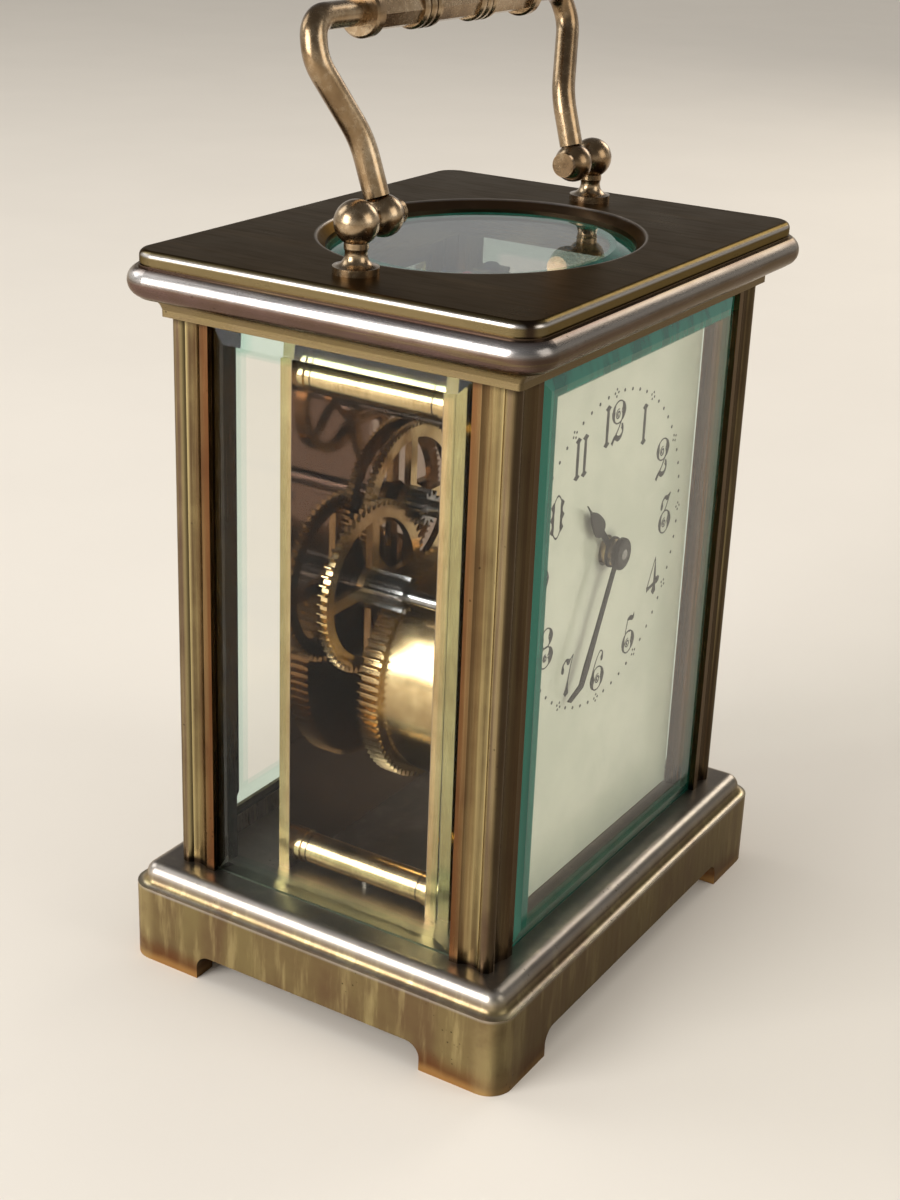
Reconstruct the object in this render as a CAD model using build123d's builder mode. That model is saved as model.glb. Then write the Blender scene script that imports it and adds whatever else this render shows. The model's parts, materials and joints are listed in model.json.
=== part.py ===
from build123d import *
from math import acos, atan2, cos, degrees, hypot, pi, radians, sin, sqrt
import os

# A glazed travelling clock: a cast case of base, four pillars and cornice round bevelled glass,
# with an eight day spring movement between two plates and a lever escapement on a platform.
# X runs to the right as seen from the dial, Y runs towards the back door, Z runs up.
# The origin is the middle of the footprint, on the surface that the feet stand on.

# Case
case_width = 80.0
case_depth = 63.0
seat_height = 14.8
seat_corner = 0.3
arris_drop = 3.0
base_wall = 3.6
floor_thickness = 4.0
foot_length = 12.5
foot_height = 4.0
foot_scoop = 2.2
pillar_inset = 5.4
pillar_size = 6.2
pillar_height = 80.6
pillar_bead = 1.15
pillar_strip = 1.3
pillar_hollow = 0.55
spigot_radius = 1.2
spigot_length = 3.0
cornice_height = 7.0
cornice_inset = 4.6
cornice_corner = 0.6
cornice_lid = 2.0
top_plate_inset = 1.8
top_plate_thickness = 1.9
top_plate_gap = 0.2

# Glass
glass_thickness = 1.8
glass_edge = 1.1
glass_land = 1.1
glass_bevel = 2.1
glass_inset = 0.2
glass_slot = 0.9
glass_play = 0.05
oval_side_margin = 15.1
oval_front_margin = 10.3
oval_slope = 1.2
oval_lip = 0.75
oval_bevel = 2.4

# Back door
door_thickness = 2.2
door_stile = 4.0
door_gap = 0.3
door_rebate = 1.0
hinge_pin_radius = 0.6
hinge_pin_length = 3.2
knob_radius = 2.2
knob_reach = 4.0

# Handle
handle_lean = 17.0
handle_reach = 24.4
pivot_rise = 6.2
post_inset = 9.7
post_ball = 2.85
post_foot = 2.95
handle_ball = 2.7
handle_step = 5.7
rod_radius = 1.65
knee_out = 0.9
shoulder_in = 0.3
grip_setback = 6.1
grip_radius = 2.55
grip_collar = 3.2
grip_collar_width = 1.8
grip_ring = 2.95
pivot_screw_radius = 0.9

# Movement frame
plate_side_gap = 1.4
plate_headroom = 3.8
plate_thickness = 1.8
dial_room = 18.1
post_edge = 3.0
low_post_rise = 2.8
high_post_drop = 3.4
post_radius = 2.2
post_collar = 2.45
plate_screw_radius = 0.9
screw_head_radius = 1.6
screw_head_height = 1.1

# Train
centre_rise = 10.3
barrel_drop = 24.1
contrate_rise = 13.2
great_module = 0.405
barrel_teeth = 84
intermediate_leaves = 12
intermediate_module = 0.41
intermediate_teeth = 60
centre_leaves = 12
centre_module = 0.30
centre_teeth = 80
third_leaves = 8
third_module = 0.26
third_teeth = 64
contrate_leaves = 8
contrate_teeth = 60
escape_leaves = 8
escape_module = 0.25
cannon_leaves = 12
motion_module = 0.30
minute_teeth = 36
minute_leaves = 10
hour_teeth = 40
wheel_thickness = 1.1
pivot_play = 0.05
end_play = 0.1

# Room in front of the back plate for each wheel, and between the wheels of the train
centre_wheel_room = 1.0
intermediate_wheel_room = 2.6
barrel_teeth_room = 4.6
contrate_wheel_y = 0.0
third_wheel_step = 3.0
barrel_face = 3.0
barrel_front_room = 2.2
great_overlap = 1.8
centre_pinion_length = 3.0
third_pinion_laps = (0.6, 0.5)
contrate_pinion_laps = (0.8, 0.7)
drum_radius = 15.7
drum_wall = 0.9
barrel_cover_thickness = 1.1

# Dial and hands
dial_side_gap = 2.2
dial_low_gap = 1.6
dial_high_gap = 4.7
dial_setback = 3.4
dial_thickness = 1.0
dial_post_inset = 5.2
low_dial_post_rise = 7.6
high_dial_post_drop = 6.7
backing_side_gap = 0.8
backing_low_gap = 0.1
hour_hand_gap = 0.9
minute_hand_gap = 0.6
hand_thickness = 0.3
collet_thickness = 0.75
hour_length = 12.4
minute_length = 21.6
shown_hours = 10.575

# Platform
platform_thickness = 1.6
platform_right = 15.0
platform_end = 1.5
platform_screw_insets = (3.5, 3.0)
escape_radius = 3.4
escape_drop = 3.0
lever_gap = 0.53
escape_teeth = 15
balance_radius = 6.5
balance_offset = 4.8
balance_post_gap = 0.57
balance_post_length = 4.2
hairspring_turns = 6
hairspring_pitch = 0.60
hairspring_band = 0.14

# Places worked out from the sizes above
half_width = case_width / 2
half_depth = case_depth / 2
top_seat = seat_height + pillar_height
cornice_top = top_seat + cornice_height
case_top_z = cornice_top + top_plate_thickness
pillar_x = half_width - pillar_inset - pillar_size / 2
pillar_y = half_depth - pillar_inset - pillar_size / 2
inner_x = pillar_x - pillar_size / 2
inner_y = pillar_y - pillar_size / 2
outer_x = pillar_x + pillar_size / 2
outer_y = pillar_y + pillar_size / 2
oval_x = half_width - oval_side_margin
oval_y = half_depth - oval_front_margin
post_x = half_width - post_inset
handle_x = post_x - handle_step
grip_half = handle_x - grip_setback
pivot_z = case_top_z + pivot_rise
lean = radians(handle_lean)

plate_half_width = inner_x - plate_side_gap
plate_top = top_seat - plate_headroom
back_outer = half_depth - dial_room
back_inner = back_outer - plate_thickness
front_outer = -back_outer
front_inner = -back_inner
post_spread = plate_half_width - post_edge
low_post_height = seat_height + low_post_rise
high_post_height = plate_top - high_post_drop
centre_height = (seat_height + plate_top) / 2 + centre_rise

centre_wheel_y = back_inner - centre_wheel_room
intermediate_wheel_y = back_inner - intermediate_wheel_room
barrel_teeth_y = back_inner - barrel_teeth_room
third_wheel_y = contrate_wheel_y + third_wheel_step
barrel_length = barrel_teeth_y - front_inner - barrel_front_room

front_glass_y = -(outer_y - glass_inset - glass_thickness)
dial_half_width = inner_x - dial_side_gap
dial_low = seat_height + dial_low_gap
dial_high = top_seat - dial_high_gap
dial_face_y = front_glass_y + dial_setback
hour_hand_y = dial_face_y - hour_hand_gap
minute_hand_y = hour_hand_y - hand_thickness - minute_hand_gap
hand_end_y = minute_hand_y - hand_thickness - collet_thickness - pivot_play

escape_y = contrate_wheel_y - escape_drop
lever_x = -escape_radius - lever_gap
balance_x = lever_x - balance_offset
balance_post_x = balance_x - balance_radius - balance_post_gap
platform_left = balance_post_x - balance_post_length - platform_end
platform_screws_x = (platform_left + platform_screw_insets[0], platform_right - platform_screw_insets[1])


def facing(depth):
    """A plane at this depth that looks to the front, with X to the right and Z up."""
    return Plane.XZ.offset(-depth)


def level(height):
    """A level plane at this height."""
    return Plane.XY.offset(height)


def place(origin, reach, angle):
    """The point at this distance and angle from an arbor, as seen from the front."""
    return (origin[0] + reach * cos(angle), origin[1] + reach * sin(angle))


def meet(first, first_reach, second, second_reach, side):
    """The arbor that stands at these distances from two others, on one side of their line."""
    apart = hypot(second[0] - first[0], second[1] - first[1])
    along = (first_reach**2 - second_reach**2 + apart**2) / (2 * apart)
    turn = acos(along / first_reach)
    heading = atan2(second[1] - first[1], second[0] - first[0])
    return place(first, first_reach, heading + side * turn)


def mesh_phase(driver, driver_teeth, driver_phase, driven, driven_teeth):
    """The turn of the driven wheel's first tooth that sets its gap on the driver's tooth."""
    heading = atan2(driven[1] - driver[1], driven[0] - driver[0])
    offset = (driver_phase - heading) * driver_teeth / (2 * pi)
    return heading + pi + 2 * pi / driven_teeth * (0.5 - offset)


# Arbors, as X and Z places seen from the front
centre = (0.0, centre_height)
barrel = (0.0, centre_height - barrel_drop)
contrate = (0.0, centre_height + contrate_rise)
great_gap = great_module * (barrel_teeth + intermediate_leaves) / 2
motion_gap = motion_module * (minute_teeth + cannon_leaves) / 2
intermediate_gap = intermediate_module * (intermediate_teeth + centre_leaves) / 2
third_gap = centre_module * (centre_teeth + third_leaves) / 2
contrate_gap = third_module * (third_teeth + contrate_leaves) / 2
intermediate = meet(barrel, great_gap, centre, intermediate_gap, 1)
third = meet(centre, third_gap, contrate, contrate_gap, -1)
minute_stud = place(centre, motion_gap, radians(-50))

print("intermediate arbor", intermediate)
print("third arbor", third)
os.makedirs("parts", exist_ok=True)

# Tooth forms: addendum and root depth in modules, tip and root width as shares of the pitch
wheel_form = (0.9, 1.15, 0.12, 0.50)
leaf_form = (0.6, 1.45, 0.16, 0.42)


def toothed(origin, teeth, module, phase, form):
    """A wheel outline with flat-sided teeth, its first tooth at the phase angle."""
    addendum, dedendum, tip_share, root_share = form
    pitch_radius = module * teeth / 2
    pitch = pi * module
    tip = pitch_radius + addendum * module
    root = pitch_radius - dedendum * module
    points = []
    for index in range(teeth):
        middle = phase + 2 * pi * index / teeth
        for radius, share in ((root, -root_share), (tip, -tip_share), (tip, tip_share), (root, root_share)):
            points.append(place(origin, radius, middle + share * pitch / 2 / radius))
    with BuildLine() as outline:
        Polyline(*points, close=True)
    make_face(outline.edges())


def rod(origin, back, front, radius, mode=Mode.ADD):
    """A round bar, or a bore, along Y between two depths."""
    with BuildSketch(facing(back)) as section:
        with Locations(origin):
            Circle(radius)
    extrude(section.sketch, amount=back - front, mode=mode)


def stem(spot, low, high, radius, mode=Mode.ADD):
    """A round bar, or a bore, along Z between two heights."""
    with BuildSketch(level(low)) as section:
        with Locations(spot):
            Circle(radius)
    extrude(section.sketch, amount=high - low, mode=mode)


def ring(half_x, half_y, radius, height):
    """A closed path round a rectangle, from halfway along its left side."""
    with BuildLine(level(height)) as path:
        start = Line((-half_x, 0), (-half_x, radius - half_y))
        for run in (half_x - radius, half_y - radius, half_x - radius, None):
            bend = JernArc(start @ 1, start % 1, radius, 90)
            reach = 2 * run if run else half_y - radius
            start = Line(bend @ 1, bend @ 1 + (bend % 1) * reach)
    return path.wire()


def finish(name, label):
    """Label a finished piece and write it to its own file."""
    name.part.label = label
    export_step(name.part, f"parts/{label}.step")


def crossed_wheel(origin, teeth, module, phase, back, spokes, hub, bore_radius, rim=1.7):
    """A wheel with its crossings cut away between the hub and the rim."""
    inner = module * (teeth / 2 - wheel_form[1]) - rim
    arm = hub * 0.55
    with BuildPart() as wheel:
        with BuildSketch(facing(back)):
            toothed(origin, teeth, module, phase, wheel_form)
            with Locations(origin):
                Circle(inner, mode=Mode.SUBTRACT)
                Circle(hub)
                with PolarLocations((inner + hub) / 2, spokes, start_angle=degrees(phase)):
                    Rectangle(inner - hub + arm, arm)
                Circle(bore_radius, mode=Mode.SUBTRACT)
        extrude(amount=wheel_thickness)
    return wheel


# The moulding of the plinth: an arris, a cove and a round bead up to the seat of the pillars
arris_flat = 0.2
bead_cove = 1.2
bead_round = arris_drop - bead_cove
bead_run = arris_flat + bead_cove + bead_round
base_corner = seat_corner + bead_run
arris_height = seat_height - arris_drop
side_glass_x = outer_x - glass_inset - glass_thickness
slot_width = glass_edge + 2 * glass_play
front_slot_y = front_glass_y - glass_edge / 2
side_slot_x = side_glass_x + glass_edge / 2
pane_height = pillar_height + 2 * (glass_slot - glass_play)
pane_middle = seat_height + pillar_height / 2
front_pane_width = 2 * (inner_x + glass_slot - glass_play)
side_pane_width = 2 * (inner_y + glass_slot - glass_play)
corners = ((-1, -1), (1, -1), (-1, 1), (1, 1))
case_screw_radius = 1.1
case_screw_head = 2.1
case_screw_head_height = 1.3
case_screw_grip = 5.0
hinge_x = -inner_x + door_gap + door_thickness / 2
hinge_y = outer_y - glass_inset - door_thickness / 2
hinge_play = 0.05
door_clearance = 0.2


def channels(low, deep):
    """The slots that hold the edges of the front and side panes."""
    with BuildSketch(level(low)) as slots:
        with Locations((0, front_slot_y)):
            Rectangle(2 * (inner_x + glass_slot), slot_width)
        with Locations((-side_slot_x, 0), (side_slot_x, 0)):
            Rectangle(slot_width, 2 * (inner_y + glass_slot))
    extrude(slots.sketch, amount=deep, mode=Mode.SUBTRACT)


with BuildPart() as case_base:
    with BuildSketch(level(0)):
        RectangleRounded(case_width, case_depth, base_corner)
    extrude(amount=arris_height)
    with BuildSketch(level(arris_height)):
        RectangleRounded(case_width - 2 * bead_run, case_depth - 2 * bead_run, seat_corner)
    extrude(amount=seat_height - arris_height)
    path_x = half_width - bead_run
    path_y = half_depth - bead_run
    with BuildSketch(Plane((-path_x, 0, arris_height), x_dir=(-1, 0, 0), z_dir=(0, 1, 0))):
        with BuildLine():
            CenterArc((0, bead_cove), bead_round, 0, 90)
            CenterArc((bead_round + bead_cove, bead_cove), bead_cove, 180, 90)
            Polyline((bead_round + bead_cove, 0), (0, 0), (0, bead_cove + bead_round))
        make_face()
    sweep(path=ring(path_x, path_y, seat_corner, arris_height))
    with BuildSketch(level(0)):
        RectangleRounded(case_width - 2 * base_wall, case_depth - 2 * base_wall, base_corner / 2)
    extrude(amount=seat_height - floor_thickness, mode=Mode.SUBTRACT)
    for view, run, depth in ((Plane.XZ, case_width, case_depth), (Plane.YZ, case_depth, case_width)):
        with BuildSketch(view):
            with Locations((0, foot_height / 2)):
                gap = Rectangle(run - 2 * foot_length, foot_height)
            fillet(gap.vertices().group_by(Axis.Y)[-1], foot_scoop)
        extrude(amount=depth, both=True, mode=Mode.SUBTRACT)
    channels(seat_height - glass_slot, glass_slot)
    for side, end in corners:
        spot = (side * pillar_x, end * pillar_y)
        stem(spot, 0, seat_height, case_screw_radius + pivot_play, Mode.SUBTRACT)
    for side in (-1, 1):
        stem((side * post_spread, 0), 0, seat_height, plate_screw_radius + pivot_play, Mode.SUBTRACT)
    hinge_low = seat_height - hinge_pin_length / 2
    stem((hinge_x, hinge_y), hinge_low, seat_height, hinge_pin_radius, Mode.SUBTRACT)
finish(case_base, "case_base")

# The section of a pillar, from its outer corner: a round bead, a hollow and a flat strip each way
bead_reach = pillar_bead + sqrt(pillar_bead**2 - (pillar_bead - pillar_hollow) ** 2)
bead_cut = pillar_bead * (1 - cos(radians(45)))
hollow_end = pillar_size - pillar_strip
hollow_middle = (bead_reach + hollow_end) / 2
hollow_floor = pillar_hollow * 1.2

for side, end in corners:
    along = (-side, 0, 0) if side == end else (0, -end, 0)
    corner_plane = Plane((side * outer_x, end * outer_y, seat_height), x_dir=along, z_dir=(0, 0, 1))
    with BuildPart() as pillar:
        with BuildSketch(corner_plane):
            with BuildLine():
                Polyline(
                    (hollow_end, 0), (pillar_size, 0), (pillar_size, pillar_size), (0, pillar_size),
                    (0, hollow_end),
                )
                bead_ends = ((pillar_hollow, bead_reach), (bead_reach, pillar_hollow))
                ThreePointArc((0, hollow_end), (hollow_floor, hollow_middle), bead_ends[0])
                ThreePointArc(bead_ends[0], (bead_cut, bead_cut), bead_ends[1])
                ThreePointArc(bead_ends[1], (hollow_middle, hollow_floor), (hollow_end, 0))
            make_face()
        extrude(amount=pillar_height)
        channels(seat_height, pillar_height)
        spot = (side * pillar_x, end * pillar_y)
        stem(spot, top_seat, top_seat + spigot_length, spigot_radius)
        stem(spot, seat_height, seat_height + case_screw_grip, case_screw_radius, Mode.SUBTRACT)
    names = ("front" if end < 0 else "rear", "left" if side < 0 else "right")
    finish(pillar, f"pillar_{names[0]}_{names[1]}")

# The moulding of the cornice: a short foot, a cove, a quirk and a full bulge under the top plate
cove_foot = 0.9
cove_out = 2.9
cove_top = 2.7
quirk = 0.15
bulge_out = 4.4
bulge_middle = 4.8
bulge_in = 3.3
bulge_top = 6.7

with BuildPart() as cornice:
    with BuildSketch(level(top_seat)):
        RectangleRounded(case_width - 2 * cornice_inset, case_depth - 2 * cornice_inset, cornice_corner)
    extrude(amount=cornice_height)
    path_x = half_width - cornice_inset
    path_y = half_depth - cornice_inset
    with BuildSketch(Plane((-path_x, 0, top_seat), x_dir=(-1, 0, 0), z_dir=(0, 1, 0))):
        with BuildLine():
            cove_middle = (0.3 * cove_out, 0.3 * cove_foot + 0.7 * cove_top)
            bulge_foot = (cove_out + quirk, cove_top + quirk)
            ThreePointArc((0, cove_foot), cove_middle, (cove_out, cove_top))
            Polyline((cove_out, cove_top), bulge_foot)
            ThreePointArc(bulge_foot, (bulge_out, bulge_middle), (bulge_in, bulge_top))
            Polyline(
                (bulge_in, bulge_top), (cove_out, bulge_top), (cove_out, cornice_height),
                (0, cornice_height), (0, cove_foot),
            )
        make_face()
    sweep(path=ring(path_x, path_y, cornice_corner, top_seat))
    with BuildSketch(level(top_seat)):
        Rectangle(2 * inner_x - glass_land, 2 * inner_y)
    extrude(amount=cornice_height - cornice_lid, mode=Mode.SUBTRACT)
    with BuildSketch(level(cornice_top - cornice_lid)):
        Ellipse(oval_x - oval_slope, oval_y - oval_slope)
    extrude(amount=cornice_lid, mode=Mode.SUBTRACT)
    with BuildSketch(level(cornice_top - glass_edge)):
        Ellipse(oval_x - oval_slope + oval_lip + glass_play, oval_y - oval_slope + oval_lip + glass_play)
    extrude(amount=glass_edge, mode=Mode.SUBTRACT)
    channels(top_seat, glass_slot)
    for side, end in corners:
        spot = (side * pillar_x, end * pillar_y)
        stem(spot, top_seat, top_seat + spigot_length, spigot_radius + pivot_play, Mode.SUBTRACT)
    for side in (-1, 1):
        stem((side * post_x, 0), cornice_top - spigot_length, cornice_top, spigot_radius, Mode.SUBTRACT)
    stem((hinge_x, hinge_y), top_seat, top_seat + hinge_pin_length / 2, hinge_pin_radius, Mode.SUBTRACT)
finish(cornice, "cornice")

top_plate_edge = 0.9
with BuildPart() as top_plate:
    slab_x = case_width - 2 * top_plate_inset
    slab_y = case_depth - 2 * top_plate_inset
    with BuildSketch(level(cornice_top)):
        step = 2 * top_plate_gap
        RectangleRounded(slab_x - step, slab_y - step, base_corner - top_plate_gap)
    extrude(amount=top_plate_gap)
    with BuildSketch(level(cornice_top + top_plate_gap)):
        RectangleRounded(slab_x, slab_y, base_corner)
    extrude(amount=top_plate_thickness - top_plate_gap)
    fillet(top_plate.faces().sort_by(Axis.Z)[-1].edges(), top_plate_edge)
    with BuildSketch(level(cornice_top)):
        Ellipse(oval_x - oval_slope, oval_y - oval_slope)
    extrude(amount=top_plate_thickness, mode=Mode.SUBTRACT)
    with BuildSketch(level(case_top_z)):
        Ellipse(oval_x, oval_y)
    with BuildSketch(level(case_top_z - oval_slope)):
        Ellipse(oval_x - oval_slope, oval_y - oval_slope)
    loft(mode=Mode.SUBTRACT)
    for side in (-1, 1):
        stem((side * post_x, 0), cornice_top, case_top_z, spigot_radius + pivot_play, Mode.SUBTRACT)
finish(top_plate, "top_plate")

with BuildPart() as top_glass:
    glass_x = oval_x - oval_slope + oval_lip
    glass_y = oval_y - oval_slope + oval_lip
    with BuildSketch(level(cornice_top - glass_edge)):
        Ellipse(glass_x, glass_y)
    extrude(amount=glass_edge)
    with BuildSketch(level(cornice_top)):
        Ellipse(glass_x - glass_land, glass_y - glass_land)
    with BuildSketch(level(cornice_top + glass_thickness - glass_edge)):
        Ellipse(glass_x - glass_land - oval_bevel, glass_y - glass_land - oval_bevel)
    loft()
finish(top_glass, "top_glass")


def pane(inner_face, width, height):
    """A sheet of glass with a thin land round its edge and a broad bevel on its outer side."""
    with BuildPart() as sheet:
        with BuildSketch(inner_face):
            Rectangle(width, height)
        extrude(amount=glass_edge)
        with BuildSketch(inner_face.offset(glass_edge)):
            Rectangle(width - 2 * glass_land, height - 2 * glass_land)
        with BuildSketch(inner_face.offset(glass_thickness)):
            inset = 2 * (glass_land + glass_bevel)
            Rectangle(width - inset, height - inset)
        loft()
    return sheet


front_face = Plane((0, front_glass_y, pane_middle), x_dir=(1, 0, 0), z_dir=(0, -1, 0))
finish(pane(front_face, front_pane_width, pane_height), "front_glass")
for side, label in ((-1, "left_glass"), (1, "right_glass")):
    side_face = Plane((side * side_glass_x, 0, pane_middle), x_dir=(0, side, 0), z_dir=(side, 0, 0))
    finish(pane(side_face, side_pane_width, pane_height), label)

door_back = outer_y - glass_inset
door_front = door_back - door_thickness
door_width = 2 * (inner_x - door_gap)
door_height = pillar_height - 2 * door_clearance
light_width = door_width - 2 * door_stile
light_height = door_height - 2 * door_stile
door_face = Plane((0, door_front, pane_middle), x_dir=(-1, 0, 0), z_dir=(0, 1, 0))
knob_x = inner_x - door_gap - door_stile / 2
knob_neck = 0.9
knob_seat = 1.6
knob_head = 1.5

with BuildPart() as door_frame:
    with BuildSketch(door_face):
        Rectangle(door_width, door_height)
    extrude(amount=door_thickness)
    fillet(door_frame.edges().filter_by(Axis.Z).group_by(Axis.X)[0], door_thickness / 2 - 0.01)
    with BuildSketch(door_face):
        Rectangle(light_width, light_height)
    extrude(amount=door_thickness, mode=Mode.SUBTRACT)
    with BuildSketch(door_face):
        rebate = 2 * (door_rebate + glass_play)
        Rectangle(light_width + rebate, light_height + rebate)
    extrude(amount=glass_edge, mode=Mode.SUBTRACT)
    hole = hinge_pin_radius + hinge_play
    reach = hinge_pin_length / 2 + end_play - door_clearance
    low_edge = seat_height + door_clearance
    high_edge = top_seat - door_clearance
    stem((hinge_x, hinge_y), low_edge, low_edge + reach, hole, Mode.SUBTRACT)
    stem((hinge_x, hinge_y), high_edge - reach, high_edge, hole, Mode.SUBTRACT)
    rod((knob_x, pane_middle), door_back, door_front, knob_neck, Mode.SUBTRACT)
finish(door_frame, "door_frame")
finish(pane(door_face, light_width + 2 * door_rebate, light_height + 2 * door_rebate), "door_glass")

with BuildPart() as door_hinge_pins:
    for middle in (seat_height, top_seat):
        half_pin = hinge_pin_length / 2
        stem((hinge_x, hinge_y), middle - half_pin, middle + half_pin, hinge_pin_radius)
finish(door_hinge_pins, "door_hinge_pins")

with BuildPart() as door_knob:
    spot = (knob_x, pane_middle)
    head_y = door_back + knob_reach
    rod(spot, head_y, head_y - knob_head, knob_radius)
    fillet(door_knob.edges(), knob_head / 2 - 0.1)
    rod(spot, head_y - knob_head, door_front, knob_neck)
    rod(spot, door_back + 0.5, door_back, knob_seat)
finish(door_knob, "door_knob")

# The handle swings on two screws that stand through its end balls
handle_plane = Plane((0, 0, pivot_z), x_dir=(1, 0, 0), z_dir=(0, -cos(lean), sin(lean)))
post_neck = 1.55
post_foot_height = 0.9

with BuildPart() as handle_posts:
    for side in (-1, 1):
        with BuildSketch(Plane((side * post_x, 0, case_top_z), x_dir=(1, 0, 0), z_dir=(0, -1, 0))):
            with BuildLine():
                Polyline((0, 0), (post_foot, 0), (post_foot, post_foot_height))
                ThreePointArc(
                    (post_foot, post_foot_height), (post_neck * 1.15, post_foot_height * 1.6),
                    (post_neck, 0.5 * pivot_rise),
                )
                Polyline((post_neck, 0.5 * pivot_rise), (post_neck, pivot_rise), (0, pivot_rise), (0, 0))
            make_face()
        revolve(axis=Axis((side * post_x, 0, 0), (0, 0, 1)))
        with Locations((side * post_x, 0, pivot_z)):
            Sphere(post_ball)
        stem((side * post_x, 0), cornice_top - spigot_length, case_top_z, spigot_radius)
    with BuildSketch(Plane.YZ):
        with Locations((0, pivot_z)):
            Circle(pivot_screw_radius)
    extrude(amount=post_x + pivot_screw_radius, both=True, mode=Mode.SUBTRACT)
finish(handle_posts, "handle_posts")

ball_flat = 2.3
pivot_head_radius = 1.7
pivot_head_height = 0.7
with BuildPart() as handle_pivot_screws:
    for side in (-1, 1):
        head_x = side * (handle_x - ball_flat - end_play)
        with BuildSketch(Plane((side * (post_x + pivot_screw_radius), 0, pivot_z), z_dir=(-side, 0, 0))):
            Circle(pivot_screw_radius)
        extrude(amount=post_x + pivot_screw_radius - abs(head_x))
        with BuildSketch(Plane((head_x, 0, pivot_z), z_dir=(-side, 0, 0))):
            Circle(pivot_head_radius)
        extrude(amount=pivot_head_height)
finish(handle_pivot_screws, "handle_pivot_screws")

arm_bends = (10.0, 4.5, 3.2)
arm_neck = 9.5
arm_knee = 19.5
arm_foot_out = 0.4
arm_neck_out = 0.8
with BuildPart() as handle_arms:
    for side in (-1, 1):
        with BuildLine(handle_plane) as arm:
            FilletPolyline(
                (side * (handle_x + arm_foot_out), handle_ball - 0.3),
                (side * (handle_x + arm_neck_out), arm_neck), (side * (post_x + knee_out), arm_knee),
                (side * (post_x - shoulder_in), handle_reach),
                (side * (grip_half + grip_collar_width / 2), handle_reach), radius=arm_bends,
            )
        with BuildSketch(Plane(arm.line @ 0, z_dir=arm.line % 0)):
            Circle(rod_radius)
        sweep(path=arm.wire())
        with Locations((side * handle_x, 0, pivot_z)):
            Sphere(handle_ball)
    with BuildSketch(Plane.YZ):
        with Locations((0, pivot_z)):
            Circle(pivot_screw_radius + pivot_play)
    extrude(amount=post_x, both=True, mode=Mode.SUBTRACT)
    with BuildSketch(Plane.YZ):
        with Locations((0, pivot_z)):
            Circle(handle_ball)
    extrude(amount=handle_x - ball_flat, both=True, mode=Mode.SUBTRACT)
finish(handle_arms, "handle_arms")

# The grip is an eight-sided bar with a collar at each end and two groups of three rings
grip_facets = 8
ring_places = (5.4, 6.95, 8.5)
ring_width = 1.1
with BuildPart() as handle_grip:
    bar_middle = handle_plane.from_local_coords((0, handle_reach, 0))
    bar_plane = Plane(bar_middle, x_dir=(0, cos(lean), -sin(lean)), z_dir=(1, 0, 0))
    with BuildSketch(bar_plane):
        RegularPolygon(grip_radius, grip_facets, rotation=180 / grip_facets)
    extrude(amount=grip_half, both=True)
    for side in (-1, 1):
        with BuildSketch(bar_plane.offset(side * grip_half)):
            Circle(grip_collar)
        extrude(amount=side * grip_collar_width)
        for middle in ring_places:
            with BuildSketch(bar_plane.offset(side * middle - ring_width / 2)):
                Circle(grip_ring)
            extrude(amount=ring_width)
    chamfer(handle_grip.edges().filter_by(lambda edge: edge.geom_type == GeomType.CIRCLE), 0.3)
    arm_seat = grip_collar_width / 2
    for side in (-1, 1):
        with BuildSketch(bar_plane.offset(side * (grip_half + arm_seat))):
            Circle(rod_radius)
        extrude(amount=side * arm_seat, mode=Mode.SUBTRACT)
finish(handle_grip, "handle_grip")

# Case screws come up from under the base into the pillars and the lower bars of the movement
with BuildPart() as case_screws:
    floor_z = seat_height - floor_thickness
    for side, end in corners:
        spot = (side * pillar_x, end * pillar_y)
        stem(spot, floor_z, seat_height + case_screw_grip - end_play, case_screw_radius)
        stem(spot, floor_z - case_screw_head_height, floor_z, case_screw_head)
    for side in (-1, 1):
        stem((side * post_spread, 0), floor_z, low_post_height, plate_screw_radius)
        stem((side * post_spread, 0), floor_z - screw_head_height, floor_z, case_screw_head)
finish(case_screws, "case_screws")

# Movement frame
posts = [(side * post_spread, height) for side in (-1, 1) for height in (low_post_height, high_post_height)]
post_collar_width = 1.2
with BuildPart() as movement_pillars:
    for spot in posts:
        rod(spot, back_inner, front_inner, post_radius)
        for back in (back_inner, front_inner + post_collar_width):
            rod(spot, back, back - post_collar_width, post_collar)
        rod(spot, back_outer, front_outer, plate_screw_radius, Mode.SUBTRACT)
    for side in (-1, 1):
        low = low_post_height - post_collar
        stem((side * post_spread, 0), low, low_post_height, plate_screw_radius, Mode.SUBTRACT)
finish(movement_pillars, "movement_pillars")


def leaves(origin, teeth, module, phase, back, front):
    """The leaves of a pinion between two depths."""
    with BuildSketch(facing(back)) as section:
        toothed(origin, teeth, module, phase, leaf_form)
    extrude(section.sketch, amount=back - front)


def squared(origin, back, front, across):
    """A square end for a key."""
    with BuildSketch(facing(back)) as section:
        with Locations(origin):
            Rectangle(across, across)
    extrude(section.sketch, amount=back - front)


def arbor(origin, radius, pivot):
    """A bar between the plates with a pivot at each end."""
    rod(origin, back_outer, front_outer, pivot)
    rod(origin, back_inner - end_play, front_inner + end_play, radius)


# Radii of the arbors and of their pivots
barrel_core = 2.6
barrel_bearing = 1.5
barrel_pivot = 1.4
winding_square = 2.4
winding_square_y = door_front - 2.2
intermediate_radius = 1.0
intermediate_pivot = 0.6
centre_radius = 1.2
centre_pivot = 0.95
setting_square = 1.3
setting_square_y = door_front - 4.7
third_radius = 0.6
third_pivot = 0.4
contrate_radius = 0.5
contrate_pivot = 0.35
hand_arbor_radius = 0.75

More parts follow.
